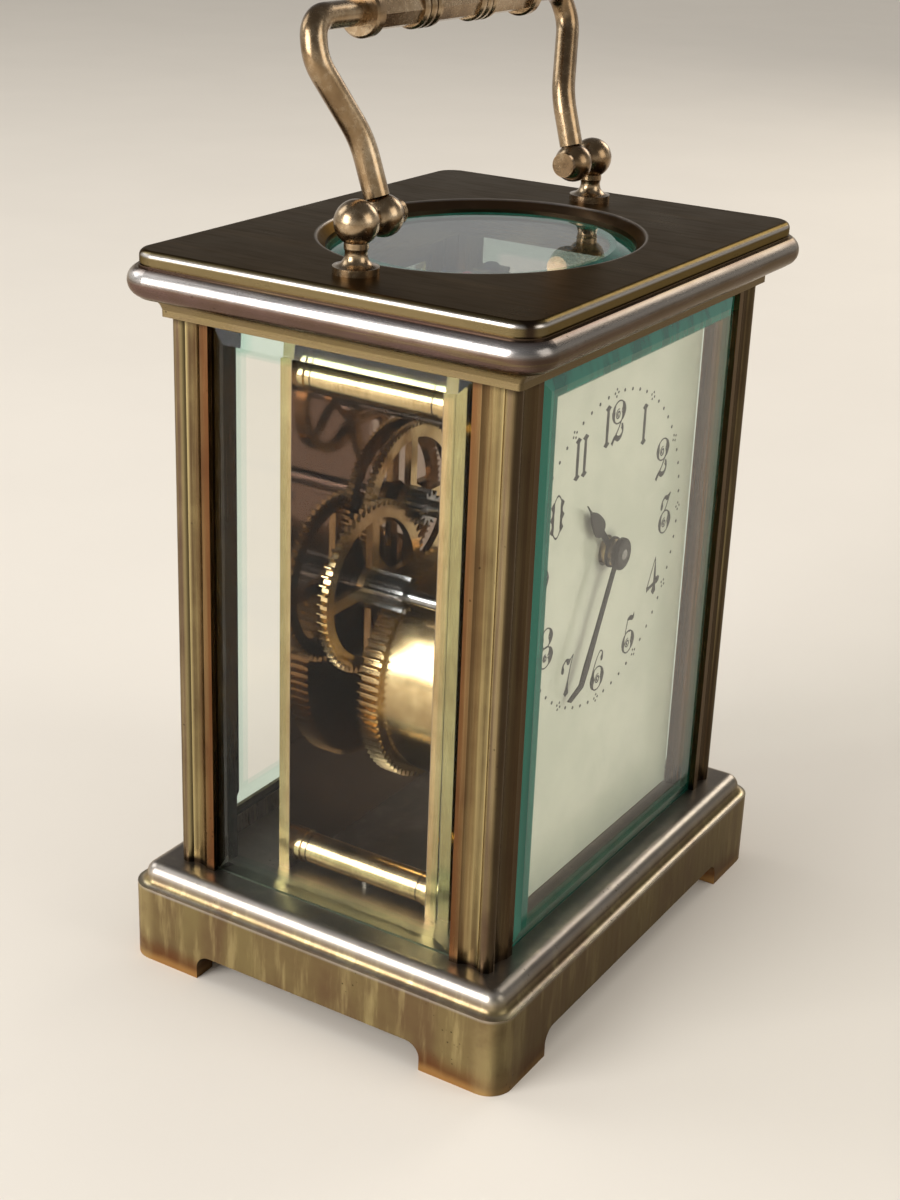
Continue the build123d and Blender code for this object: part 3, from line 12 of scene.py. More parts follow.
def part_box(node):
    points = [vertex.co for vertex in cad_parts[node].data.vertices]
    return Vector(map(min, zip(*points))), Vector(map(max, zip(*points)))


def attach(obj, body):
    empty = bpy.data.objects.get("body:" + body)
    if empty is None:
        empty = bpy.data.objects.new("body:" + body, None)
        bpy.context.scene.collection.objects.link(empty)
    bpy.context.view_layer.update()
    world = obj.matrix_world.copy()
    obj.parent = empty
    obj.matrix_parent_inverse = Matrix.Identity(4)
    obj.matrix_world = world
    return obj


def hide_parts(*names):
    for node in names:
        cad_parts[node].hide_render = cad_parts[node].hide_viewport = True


bl_info = {
    "name": "Travelling clock dressing",
    "version": (1, 0, 0),
    "blender": (4, 5, 0),
    "location": "View3D > Sidebar > Clock",
    "description": "Finishes and fits out a glazed travelling clock",
    "category": "Object",
}

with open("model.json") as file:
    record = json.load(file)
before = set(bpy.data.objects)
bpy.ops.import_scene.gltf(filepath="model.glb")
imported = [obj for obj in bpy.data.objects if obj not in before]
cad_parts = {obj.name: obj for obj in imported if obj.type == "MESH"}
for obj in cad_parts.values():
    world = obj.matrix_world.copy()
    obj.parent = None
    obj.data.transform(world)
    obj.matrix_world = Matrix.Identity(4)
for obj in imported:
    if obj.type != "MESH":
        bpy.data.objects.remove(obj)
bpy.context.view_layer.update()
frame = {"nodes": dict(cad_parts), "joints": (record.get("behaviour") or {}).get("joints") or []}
nodes = frame["nodes"]

MM = 0.001


def tone(red, green, blue):
    """A linear colour from the usual 0 to 255 values."""
    parts = [value / 255 for value in (red, green, blue)]
    return tuple(part / 12.92 if part <= 0.04045 else ((part + 0.055) / 1.055) ** 2.4 for part in parts)


def colour(name, description, red, green, blue):
    """A colour property with its default given as 0 to 255 values."""
    return FloatVectorProperty(
        name=name, description=description, subtype="COLOR", size=3, min=0, max=1,
        default=tone(red, green, blue),
    )


def length(name, description, millimetres):
    """A length property with its default given in millimetres."""
    return FloatProperty(
        name=name, description=description, unit="LENGTH", subtype="DISTANCE", min=0, precision=5,
        default=millimetres * MM,
    )


def point(name, description, *metres):
    """A property that holds a place."""
    return FloatVectorProperty(
        name=name, description=description, unit="LENGTH", subtype="XYZ", size=3, default=metres
    )


class ClockCaseFinish(bpy.types.PropertyGroup):
    """Colours of the darkened brass case."""

    lid: colour("Lid", "The top plate, darkened all over", 56, 44, 34)
    brown: colour("Brown", "Darkest lacquered parts", 92, 74, 54)
    olive: colour("Olive", "Greenish brass under old lacquer", 146, 130, 90)
    # Gold is also the painted highlight beside the pillars' corner bead.
    gold: colour("Gold", "Brass where the lacquer is thin, and the painted highlight beside the pillars' bead", 206, 188, 136)
    # Painted highlight, laid on the crowns of the mouldings, along the base's arris and on the top plate's
    # rim and oval.
    silver: colour("Silver", "Painted highlight on the crowns of the mouldings", 208, 202, 196)
    plum: colour("Plum", "Purple bloom on the mouldings", 112, 90, 86)
    rust: colour("Red brown", "Warm stain along the pillars and feet", 120, 72, 42)
    worn: colour("Worn", "Bare brass on rubbed edges", 204, 160, 100)
    # Real dirt in corners and pits, and also the painted shade on front faces and in the cornice's quirk.
    grime: colour("Grime", "Dirt in the corners, and painted shade on front faces and in the cornice's quirk", 44, 35, 26)


class ClockHandleFinish(bpy.types.PropertyGroup):
    """Colours of the carrying handle."""

    brass: colour("Brass", "Main colour", 142, 118, 88)
    dark: colour("Dark", "Tarnished hollows", 86, 64, 44)
    bright: colour("Bright", "Rubbed crowns", 204, 186, 158)


class ClockMovementFinish(bpy.types.PropertyGroup):
    """Colours of the movement."""

    brass: colour("Brass", "Polished brass", 222, 198, 150)
    deep: colour("Deep brass", "Brass in its darker bands", 184, 156, 112)
    inside: colour("Inside", "Inner faces of the plates, polished like a mirror", 158, 138, 130)
    tarnish: colour("Tarnish", "Dull spots and grooves", 74, 60, 58)
    steel: colour("Steel", "Polished steel", 176, 174, 172)
    blue: colour("Blue", "Heat blued steel", 44, 56, 104)
    hand: colour("Hands", "Blued steel faded to brown", 30, 24, 20)
    ruby: colour("Ruby", "Jewel bearings", 176, 36, 62)
    turning_pitch: length("Turning pitch", "Distance between lathe marks", 0.22)


class ClockGlassFinish(bpy.types.PropertyGroup):
    """The bevelled glass."""

    clear: colour("Clear", "Tint of the panes", 250, 251, 249)
    smoke: colour("Smoke", "Tint of the oval pane", 186, 192, 190)
    pale: colour("Pale bevel", "Tint of the bevels that look out at the room", 216, 236, 230)
    # Painted reflection: the green-blue that the bevels show of the glass's own edge, strongest at the front
    # pane's left and top.
    teal: colour("Teal bevel", "Painted reflection in the bevels that look along the glass", 16, 84, 68)
    bevel_width: length("Bevel", "Width of the bevel with its land", 4.2)
    strip_width: length("Strip", "Width of the teal strip at the left of the front pane", 4.8)
    index: FloatProperty(name="Refraction", description="Index of refraction", default=1.38, min=1, max=2)


class ClockDialPrint(bpy.types.PropertyGroup):
    """The enamel dial and what is fired on it."""

    cream: colour("Cream", "Main colour of the enamel", 216, 215, 192)
    shade: colour("Shade", "Greener and darker drift in the enamel", 200, 201, 178)
    ink: colour("Ink", "Numerals and dots", 20, 17, 16)
    ring_radius: length("Ring", "Radius of the minute dots", 22.5)
    dot_radius: length("Dot", "Radius of a minute dot", 0.26)
    group_reach: length("Group", "From the middle of a five minute group to its dots", 0.50)
    group_dot: length("Group dot", "Radius of a dot in a group", 0.20)
    numeral_radius: length("Numeral ring", "Radius of the numerals' middles", 18.3)
    numeral_height: length("Numeral", "Height of a numeral", 5.9)
    film: length("Film", "Thickness of the print", 0.02)
    weight: FloatProperty(name="Weight", description="Widens the numerals' strokes", default=1.25, min=0.2)


class ClockFittings(bpy.types.PropertyGroup):
    """Sizes of the small fittings."""

    slot_width: length("Slot", "Width of a screw slot", 0.42)
    slot_depth: length("Slot depth", "Depth of a screw slot", 0.4)
    rim_screws: IntProperty(name="Rim screws", description="Screws round the balance", default=14, min=2)
    rim_screw_radius: length("Rim screw", "Radius of a balance screw", 0.34)
    rim_screw_length: length("Rim screw length", "How far a balance screw stands out", 0.36)
    jewel_radius: length("Jewel", "Radius of a jewel", 0.62)
    seed: IntProperty(name="Seed", description="Turns the screw slots", default=4, min=0)


class ClockStage(bpy.types.PropertyGroup):
    """Floor, lamps and camera."""

    floor: colour("Floor", "Colour of the floor", 226, 218, 206)
    sky: colour("Sky", "Colour seen past the floor", 222, 221, 218)
    ceiling: colour("Ceiling", "Colour that polished metal shows from overhead", 112, 112, 114)
    fill: FloatProperty(name="Fill", description="Strength of the light from all round", default=0.58, min=0)
    key: FloatProperty(name="Key", description="Power of the main lamp", unit="POWER", default=6.0, min=0)
    place: point("Camera", "Place of the camera", -0.22376, -0.13209, 0.15955)
    aim: point("Aim", "Point that the camera looks at", -0.01065, -0.00344, 0.05498)
    roll: FloatProperty(name="Roll", description="Lean of the camera", unit="ROTATION", default=radians(2.23))
    lens: FloatProperty(name="Lens", description="Focal length in millimetres", default=57.97, min=1)


GROUPS = {
    "clock_case": ClockCaseFinish,
    "clock_handle": ClockHandleFinish,
    "clock_movement": ClockMovementFinish,
    "clock_glass": ClockGlassFinish,
    "clock_dial": ClockDialPrint,
    "clock_fittings": ClockFittings,
    "clock_stage": ClockStage,
}


def joining(operation, turned=False):
    """A method that joins a wire and any other value by this operation."""
    def method(self, *other):
        return self.graph.maths(operation, *((*other, self) if turned else (self, *other)))
    return method


class Wire:
    """An output socket that takes part in sums, so that a mask reads like its formula."""

    __add__ = __radd__ = joining("ADD")
    __sub__ = joining("SUBTRACT")
    __rsub__ = joining("SUBTRACT", turned=True)
    __mul__ = __rmul__ = joining("MULTIPLY")
    __truediv__ = joining("DIVIDE")
    __pow__ = joining("POWER")
    __abs__ = joining("ABSOLUTE")

    def __init__(self, graph, socket):
        self.graph = graph
        self.socket = socket

    def output(self, name):
        """Another output of the same node."""
        return Wire(self.graph, self.socket.node.outputs[name])


class Graph:
    """A node tree in the making."""

    def __init__(self, tree):
        self.tree = tree
        self.tree.nodes.clear()

    def add(self, kind, inputs=None, output=0, **settings):
        """Adds a node, a shader node by its short name, and sets or links its sockets."""
        node = self.tree.nodes.new(kind if "Node" in kind else "ShaderNode" + kind)
        for name, value in settings.items():
            setattr(node, name, value)
        for name, value in (inputs or {}).items():
            if isinstance(value, Wire):
                self.tree.links.new(value.socket, node.inputs[name])
            else:
                node.inputs[name].default_value = value
        return Wire(self, node.outputs[output]) if node.outputs else None

    def maths(self, operation, *values):
        return self.add("Math", dict(enumerate(values)), operation=operation)

    def soft(self, value, low, high):
        """A smooth step from 0 at low to 1 at high, either way round."""
        inputs = {"Value": value, "From Min": low, "From Max": high}
        return self.add("MapRange", inputs, interpolation_type="SMOOTHSTEP")

    def near(self, value, middle, reach):
        """1 where a value is at the middle, falling to 0 at this reach from it."""
        return self.soft(abs(value - middle), reach, 0)

    def mix(self, mask, first, second):
        """Goes from the first colour to the second with the mask."""
        inputs = {0: mask}
        for index, value in ((6, first), (7, second)):
            inputs[index] = value if isinstance(value, Wire) else (*value, 1)
        return self.add("Mix", inputs, output=2, data_type="RGBA")


class Finish(Graph):
    """A material in the making. Lengths in it are millimetres, read from Object coordinates."""

    def __init__(self, name):
        self.material = bpy.data.materials.new(name)
        self.material.use_nodes = True
        super().__init__(self.material.node_tree)
        spot = self.add("TexCoord", output="Object")
        facing = self.add("SeparateXYZ", {0: spot.output("Normal")}, output="Y")
        self.spot = self.add("VectorMath", {0: spot, "Scale": 1 / MM}, operation="SCALE")
        self.x = self.add("SeparateXYZ", {0: self.spot})
        self.y = self.x.output("Y")
        self.z = self.x.output("Z")
        self.ahead = facing * -1

    def grain(self, size, stretch=(1, 1, 1), shift=0, detail=3, harsh=0.55):
        """Noise with features of about this size in millimetres, drawn out along chosen axes."""
        scale = [1 / (size * part) for part in stretch]
        place = {"Vector": self.spot, "Location": (shift, shift, shift), "Scale": scale}
        placed = self.add("Mapping", place)
        inputs = {"Vector": placed, "Scale": 1, "Detail": detail, "Roughness": harsh}
        return self.add("TexNoise", inputs)

    def pits(self, size, share, shift=0):
        """1 in small scattered pits, 0 between them."""
        placed = self.add("Mapping", {"Vector": self.spot, "Location": (shift, shift, shift)})
        cell = self.add("TexVoronoi", {"Vector": placed, "Scale": 1 / size})
        pick = self.grain(size * 6, shift=shift + 9)
        return self.soft(cell, share, share * 0.4) * self.soft(pick, 0.58, 0.68)

    def away(self, across, up):
        """The distance from an axis, from the two distances square to it."""
        return self.maths("SQRT", across ** 2 + up ** 2)

    def bump(self, height, reach):
        """Turns a height between 0 and 1 into a normal, with its full reach in millimetres."""
        return self.add("Bump", {"Strength": 1, "Distance": reach * MM, "Height": height})

    def surface(self, **sockets):
        """Closes the material with a Principled shader."""
        inputs = {name.replace("_", " "): value for name, value in sockets.items()}
        shader = self.add("BsdfPrincipled", inputs)
        self.add("OutputMaterial", {"Surface": shader})
        return self.material

    def metal(self, body, rough, height, reach, **more):
        """Closes the material as metal, with a bump of this reach in millimetres."""
        bump = self.bump(height, reach)
        return self.surface(Base_Color=body, Metallic=1.0, Roughness=rough, Normal=bump, **more)


class CaseFinish(Finish):
    """A finish of the case, with the haze that its masks share."""

    def __init__(self, name):
        super().__init__(name)
        self.look = settings("clock_case")
        self.haze = self.grain(9, shift=21, detail=4)


def settings(name):
    """The property group of this name."""
    return getattr(bpy.context.scene, name)


def shaded(base, share):
    """A colour made this many times as bright."""
    return tuple(min(1, part * share) for part in base)


def corners(name):
    """The lowest and the highest corner of a piece, in millimetres."""
    return [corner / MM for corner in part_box(name)]


def dress(names, material):
    """Gives a finish to carried-over pieces of the model."""
    for name in names.split():
        for place in nodes[name].material_slots:
            place.material = material


def hinge(name):
    """Where a joint of the model stands."""
    return next(Vector(joint["pos_m"]) for joint in frame["joints"] if joint["name"] == name)


def new_object(name, mesh):
    """An object with this mesh, lamp or camera, in the scene."""
    made = bpy.data.objects.new(name, mesh)
    bpy.context.scene.collection.objects.link(made)
    return made


def to_mesh(shape, name="shape"):
    """The mesh of a shape, which ends the shape."""
    mesh = bpy.data.meshes.new(name)
    shape.to_mesh(mesh)
    shape.free()
    return mesh


def baked(made):
    """The mesh of an object with its modifiers applied, which ends the object."""
    scene = bpy.context.evaluated_depsgraph_get()
    mesh = bpy.data.meshes.new_from_object(made.evaluated_get(scene))
    bpy.data.objects.remove(made)
    return mesh


def settle(name, mesh, material, body):
    """Makes a mesh a piece of one material that rides on a body."""
    mesh.name = name
    mesh.materials.clear()
    mesh.materials.append(material)
    for face in mesh.polygons:
        face.material_index = 0
    piece = new_object(name, mesh)
    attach(piece, body)
    return piece


def tipped(angle, *spot):
    """A place at this spot, tipped about X. After a quarter turn the piece faces the front."""
    return Matrix.Translation(spot) @ Matrix.Rotation(angle, 4, "X")


def point_at(holder, spot, target, roll=0.0):
    """Stands a lamp or a camera at a spot and turns it to a target."""
    holder.location = spot
    holder.rotation_mode = "QUATERNION"
    facing = (Vector(target) - Vector(spot)).to_track_quat("-Z", "Y")
    holder.rotation_quaternion = facing @ Quaternion((0, 0, 1), roll)


def case_metal(name, streak, shades, masks, shine=0.22, glance=0.8, painted_front_shade=0.7):
    """Lacquered brass: calm tones and fine lines along the polishing, stains, pits, and painted shade on the
    faces that look to the front.
    """
    coat = CaseFinish(name)
    look, haze = coat.look, coat.haze
    first, second, third = shades
    bands = coat.grain(2.6, stretch=streak, shift=11, detail=2)
    lines = coat.grain(0.8, stretch=streak, shift=3, detail=4, harsh=0.6)
    body = coat.mix(coat.soft(0.55 * bands + 0.45 * haze, 0.34, 0.66), first, second)
    body = coat.mix(coat.soft(lines, 0.48, 0.74) * 0.5, body, third)
    for mask, shade in masks(coat):
        body = coat.mix(mask, body, shade)
    # Painted shade: faces that look to the front are darkened.
    body = coat.mix(coat.soft(coat.ahead, 0.3, 0.8) * painted_front_shade, body, look.grime)
    pits = coat.pits(0.9, 0.22)
    body = coat.mix(pits * 0.7, body, look.grime)
    scratch = coat.grain(0.3, stretch=streak, shift=5, detail=3, harsh=0.7)
    rough = shine + 0.14 * haze + 0.08 * coat.soft(scratch, 0.4, 0.8)
    height = 0.3 * scratch + 0.2 * lines - 0.6 * pits
    warm = (glance, 0.92 * glance, 0.82 * glance, 1)
    return coat.metal(body, rough, height, 0.012, Specular_Tint=warm)


def base_masks(coat):
    """The base has painted highlights on its bead and along its arris, and is stained, rubbed and dirty."""
    look, haze, z = coat.look, coat.haze, coat.z
    high = corners("case_base")[1]
    arris = high.z - 3.0
    corner = coat.soft(abs(coat.x) / high.x + abs(coat.y) / high.y, 1.84, 1.90)
    # Painted highlights: a band on the bead above the arris, and a line along the arris.
    yield coat.soft(z, arris + 0.4, arris + 2.0) * (0.35 + 0.5 * haze), look.silver
    yield coat.near(z, arris - 0.1, 0.45) * (0.2 + 0.6 * haze), look.silver
    yield coat.soft(z + 3.0 * haze, 6.0, 2.4) * 0.7, look.rust
    yield coat.soft(z + 2.0 * haze, 2.6, 1.2) * 0.7, look.worn
    yield corner * 0.35 * coat.soft(haze, 0.35, 0.6), look.gold
    yield coat.near(z + 0.5 * haze, high.z + 0.35, 0.4) * 0.6, look.grime


def pillar_masks(coat):
    """The corner bead has a plum tone and a painted highlight beside it, the strips by the glass are stained,
    and both ends are dirty.
    """
    look, haze, z = coat.look, coat.haze, coat.z
    low = corners("pillar_front_left")[0]
    head = corners("cornice")[0].z - 0.6
    outer = abs(low.x) + abs(low.y) - abs(coat.x) - abs(coat.y)
    yield coat.soft(outer, 3.4, 6.2) * (0.45 + 0.5 * haze), look.rust
    # Painted highlight: a bright strip on the side faces beside the corner bead.
    yield coat.near(abs(coat.y), abs(low.y) - 2.0, 0.7) * 0.85, look.gold
    yield coat.near(outer, 1.2, 0.9) * (0.2 + 0.4 * haze), look.plum
    yield coat.soft(z - 1.6 * haze, low.z + 0.6, low.z - 0.4), look.grime
    yield coat.soft(z + 1.2 * haze, head, head + 1.2) * 0.8, look.grime


def cornice_masks(coat):
    """A brown cove, painted shade in the quirk and a painted silvery highlight along the crown of the bulge.
    """
    look, z = coat.look, coat.z
    foot = corners("cornice")[0].z
    yield coat.soft(z, foot + 3.2, foot + 2.8) * 0.65, look.olive
    # Painted shade in the quirk between the cove and the bulge.
    yield coat.near(z, foot + 2.85, 0.3) * 0.8, look.grime
    # Painted highlight along the crown of the bulge.
    yield coat.near(z + 0.4 * coat.haze, foot + 6.0, 1.1) * 0.95, look.silver
    yield coat.near(z, foot + 6.85, 0.3) * 0.6, look.grime


def lid_masks(coat):
    """The top plate is rubbed at its rim and round the glass, with a painted highlight along the top of its
    rim and round the glass.
    """
    look, x, y = coat.look, coat.x, coat.y
    high, pane = (corners(name)[1] for name in ("top_plate", "top_glass"))
    oval = (x / (pane.x + 0.5)) ** 2 + (y / (pane.y + 0.5)) ** 2
    rims = [coat.soft(abs(spot), end - 0.9, end - 0.3) for spot, end in ((x, high.x), (y, high.y))]
    rim = coat.maths("MAXIMUM", *rims)
    yield rim * 0.5, look.olive
    # Painted highlight along the top of the rim.
    yield rim * coat.near(coat.z, high.z - 0.55, 0.35) * 0.8, look.silver
    yield coat.soft(oval, 1.01, 0.99) * 0.5, look.brown
    # Painted highlight round the oval glass.
    yield coat.near(oval, 1.0, 0.03) * 0.7, look.silver


def door_masks(coat):
    """The door is dirty at the hinge."""
    hinged = corners("door_frame")[0].x
    yield coat.soft(coat.x, hinged + 2, hinged) * 0.7, coat.look.grime


def handle_metal():
    """Brass rubbed bright on the crowns and brown in the hollows."""
    look = settings("clock_handle")
    coat = Finish("handle_brass")
    pivot = hinge("handle_hinge").z / MM
    arm = 27.4
    drift = coat.grain(9, detail=3)
    fine = coat.grain(0.8, shift=7, detail=4, harsh=0.65)
    foot = coat.near(coat.z, corners("handle_posts")[0].z + 3.0, 0.9)
    neck = coat.near(abs(coat.x), arm, 0.7) * coat.soft(coat.z, pivot + 4.5, pivot + 2.5)
    body = coat.mix(coat.soft(drift, 0.20, 0.52), look.dark, look.brass)
    body = coat.mix(coat.soft(0.5 * fine + 0.9 * drift, 0.60, 1.0) * 0.6, body, look.bright)
    body = coat.mix((foot + neck) * 0.7, body, look.dark)
    pits = coat.pits(0.8, 0.2, shift=4)
    body = coat.mix(pits * 0.7, body, look.dark)
    return coat.metal(body, 0.18 + 0.16 * fine, 0.25 * fine - 0.5 * pits, 0.018)


def movement_metal(name, centre=None, streak=(1, 1, 1), groove=None):
    """Polished brass, either turned round an axis along Y or drawn along a bar with a dark groove."""
    look = settings("clock_movement")
    coat = Finish(name)
    drift = coat.grain(5, detail=3)
    if centre is None:
        marks = coat.grain(0.5, stretch=streak, shift=2, detail=4, harsh=0.65)
    else:
        radius = coat.away(coat.x - centre.x / MM, coat.z - centre.z / MM)
        wave = coat.maths("SINE", radius * (2 * pi / (look.turning_pitch / MM)) + 5 * drift)
        marks = 0.5 + 0.15 * wave + 0.3 * (coat.grain(0.4, shift=2) - 0.5)
    body = coat.mix(coat.soft(0.5 * marks + 0.8 * drift, 0.40, 0.95), look.deep, look.brass)
    body = coat.mix(coat.pits(1.4, 0.16, shift=6) * 0.6, body, look.tarnish)
    if groove is not None:
        body = coat.mix(coat.near(abs(coat.y), groove, 0.22) * 0.85, body, look.tarnish)
    return coat.metal(body, 0.14 + 0.10 * drift + 0.06 * marks, marks, 0.003)


def plate_metal():
    """The plates: bright edges, and mirrors for inner faces."""
    look = settings("clock_movement")
    coat = Finish("plate_brass")
    face = abs(corners("front_plate")[1].y)
    drift = coat.grain(9, detail=4)
    brushed = coat.grain(0.3, stretch=(1, 1, 14), shift=2, detail=4, harsh=0.65)
    body = coat.mix(coat.soft(0.5 * brushed + 0.7 * drift, 0.35, 0.95), look.deep, look.brass)
    inner = coat.soft(abs(coat.y), face + 0.15, face + 0.02)
    body = coat.mix(inner * (0.80 + 0.2 * drift), body, look.inside)
    return coat.metal(body, 0.16 - 0.12 * inner + 0.06 * drift, brushed * (1 - inner), 0.002)


def steel_metal(name, shade, mild):
    """Turned and polished steel."""
    coat = Finish(name)
    drift = coat.grain(2.5, detail=3)
    marks = coat.grain(0.3, stretch=(5, 1, 5), shift=8, detail=4, harsh=0.6)
    body = coat.mix(coat.soft(marks + 0.5 * drift, 0.5, 1.0), shaded(shade, 0.62), shade)
    body = coat.mix(coat.pits(0.7, 0.16, shift=1) * 0.5, body, mild)
    return coat.metal(body, 0.16 + 0.16 * drift, marks, 0.004)


def glass(name, painted_reflection_sides):
    """Clear glass with tinted bevels and a painted reflection in some of them, which lets the lamps through.
    """
    look = settings("clock_glass")
    coat = Finish(name)
    low, high = corners(name)
    middle, half = (low + high) / 2, (high - low) / 2
    width, strip_width, blur = look.bevel_width / MM, look.strip_width / MM, 0.15
    flat = min(range(3), key=lambda axis: half[axis])
    spots = (coat.x, coat.y, coat.z)
    first, second = (axis for axis in range(3) if axis != flat)
    across, along = (abs(spots[axis] - middle[axis]) for axis in (first, second))
    if flat == 2:
        oval = coat.away(across / half.x, along / half.y)
        edge = coat.soft(oval, 1 - (width + blur) / half.y, 1 - (width - blur) / half.y)
        # Painted reflection all round the oval pane's bevel.
        teal = edge * painted_reflection_sides
    else:
        sides = [
            coat.soft(spot, half[axis] - width - blur, half[axis] - width + blur)
            for spot, axis in ((across, first), (along, second))
        ]
        edge = coat.maths("MAXIMUM", *sides)
        # Painted reflection: a strip at the left of the pane, the upper bevel, and the other bevels more
        # weakly.
        strip = low.x + strip_width
        left = coat.soft(coat.x, strip + blur, strip - blur)
        top = sides[1] * coat.soft(coat.z, middle.z, middle.z + 2)
        teal = coat.maths("MAXIMUM", coat.maths("MAXIMUM", left, top), 0.3 * edge) * painted_reflection_sides
    smear = coat.grain(14, stretch=(1, 1, 2), detail=4, harsh=0.6)
    body = look.smoke if flat == 2 else look.clear
    tint = coat.mix(teal, coat.mix(edge, body, look.pale), look.teal)
    clear = coat.add("BsdfPrincipled", {
        "Base Color": tint, "Transmission Weight": 1.0, "IOR": look.index,
        "Roughness": 0.012 * coat.soft(smear, 0.45, 0.75), "Specular Tint": (0.2, 0.2, 0.2, 1),
    })
    # Painted reflection: an opaque streaked sheet over most of the tinted bevels.
    stripes = coat.grain(2.2, stretch=(1, 1, 30), shift=5, detail=1)
    depth = coat.mix(coat.soft(stripes, 0.35, 0.65), look.teal, shaded(look.teal, 1.7))
    painted_reflection = coat.add("BsdfPrincipled", {"Base Color": depth, "Roughness": 0.08})
    clear = coat.add("MixShader", {0: 0.8 * teal, 1: clear, 2: painted_reflection})
    passing = coat.add("BsdfTransparent", {"Color": (0.95, 0.985, 0.97, 1)})
    shadow = coat.add("LightPath", output="Is Shadow Ray")
    surface = coat.add("MixShader", {0: shadow, 1: clear, 2: passing})
    coat.add("OutputMaterial", {"Surface": surface})
    return coat.material


def enamel():
    """Fired enamel: cream drifting to green, with a few specks, a faint orange peel and painted shade round
    the hands' hub.
    """
    look = settings("clock_dial")
    coat = Finish("dial_enamel")
    centre = hinge("centre_spin") / MM
    drift = coat.grain(20, detail=3)
    cloud = coat.grain(5, shift=5, detail=4)
    away = coat.away(coat.x - centre.x, coat.z - centre.z)
    body = coat.mix(coat.soft(drift + 0.3 * cloud, 0.45, 0.85), look.cream, look.shade)
    body = coat.mix(coat.pits(2.6, 0.07, shift=2) * 0.35, body, look.ink)
    # Painted shade round the hands' hub.
    body = coat.mix(coat.soft(away, 3.6, 2.2) * 0.35, body, look.ink)
    return coat.surface(
        Base_Color=body, Roughness=0.16 + 0.10 * cloud, Coat_Weight=0.5, Coat_Roughness=0.05,
        Normal=coat.bump(cloud, 0.03),
    )


def ink():
    """The fired print, a little glossy and uneven in strength."""
    look = settings("clock_dial")
    coat = Finish("dial_ink")
    patchy = coat.grain(0.5, detail=3)
    body = coat.mix(coat.soft(patchy, 0.45, 0.75), look.ink, shaded(look.ink, 1.5))
    return coat.surface(Base_Color=body, Roughness=0.25 + 0.2 * patchy, Specular_IOR_Level=0.15)


def jewel():
    """Ruby with paler inclusions."""
    look = settings("clock_movement")
    coat = Finish("ruby")
    cloud = coat.grain(0.4, detail=3)
    body = coat.mix(coat.soft(cloud, 0.4, 0.7), look.ruby, shaded(look.ruby, 1.8))
    return coat.surface(
        Base_Color=body, Roughness=0.08 + 0.06 * cloud, Coat_Weight=0.8, Coat_Roughness=0.03
    )


class Pattern(Graph):
    """A Geometry Nodes tree in the making, with its named inputs."""

    def __init__(self, name, *sockets):
        super().__init__(bpy.data.node_groups.new(name, "GeometryNodeTree"))
        self.identifiers = {}
        sockets = (("Geometry", "Geometry", None), *sockets, ("Material", "Material", None))
        for label, kind, default in sockets:
            made = self.tree.interface.new_socket(label, in_out="INPUT", socket_type="NodeSocket" + kind)
            if default is not None:
                made.default_value = default
            self.identifiers[label] = made.identifier
        self.tree.interface.new_socket("Geometry", in_out="OUTPUT", socket_type="NodeSocketGeometry")
        self.given = self.add("NodeGroupInput").output

    def close(self, points, piece, facing, **choice):
        """Ends the tree in copies of a piece on points, as real geometry with one material."""
        inputs = {"Points": points, "Instance": piece, "Rotation": facing, **choice}
        copies = self.add("GeometryNodeInstanceOnPoints", inputs)
        real = self.add("GeometryNodeRealizeInstances", {0: copies})
        coated = self.add("GeometryNodeSetMaterial", {"Geometry": real, "Material": self.given("Material")})
        self.add("NodeGroupOutput", {0: coated})
        return self

    def apply(self, base, values):
        """Puts the tree on an object with these values on its named inputs."""
        modifier = base.modifiers.new(self.tree.name, "NODES")
        modifier.node_group = self.tree
        for label, value in values.items():
            modifier[self.identifiers[label]] = value
        base.update_tag()


def ring_pattern():
    """Copies of a piece round a circle in the XY plane, leaving out every so many."""
    sockets = ("Count", "Int", 12), ("Radius", "Float", 0.01), ("Leave Out", "Int", 0)
    pattern = Pattern("ring_of_pieces", *sockets)
    count, gap = pattern.given("Count"), pattern.given("Leave Out")
    circle = pattern.add("GeometryNodeMeshCircle", {"Vertices": count, "Radius": pattern.given("Radius")})
    index = pattern.add("GeometryNodeInputIndex")
    rest = pattern.maths("MODULO", index, pattern.maths("MAXIMUM", gap, 1.0))
    chosen = pattern.maths("GREATER_THAN", rest + pattern.maths("LESS_THAN", gap, 0.5), 0.5)
    facing = pattern.add("CombineXYZ", {"Z": index * (2 * pi) / count})
    return pattern.close(circle, pattern.given("Geometry"), facing, Selection=chosen)


def scatter_pattern():
    """A copy of a piece on every point of the object, each turned about Z by a seeded amount."""
    sockets = ("Piece", "Object", None), ("Turn", "Float", pi), ("Seed", "Int", 0)
    pattern = Pattern("pieces_on_points", *sockets)
    piece = pattern.add("GeometryNodeObjectInfo", {"Object": pattern.given("Piece")}, output="Geometry")
    chance = pattern.add("FunctionNodeRandomValue", {"Seed": pattern.given("Seed")}, output=1)
    facing = pattern.add("CombineXYZ", {"Z": chance * pattern.given("Turn")})
    return pattern.close(pattern.given("Geometry"), piece, facing)


def lathe(profile, segments=28):
    """A turned piece about Z from its outline, which starts and ends on the axis."""
    shape = bmesh.new()
    rings = []
    for radius, height in profile:
        turns = [2 * pi * step / segments for step in range(segments if radius else 1)]
        rings.append([shape.verts.new((radius * cos(turn), radius * sin(turn), height)) for turn in turns])
    for low, high in zip(rings, rings[1:]):
        for step in range(segments):
            after = (step + 1) % segments
            turns = (low, step), (low, after), (high, after), (high, step)
            shape.faces.new(list(dict.fromkeys(ring[turn % len(ring)] for ring, turn in turns)))
    bmesh.ops.recalc_face_normals(shape, faces=shape.faces)
    return shape


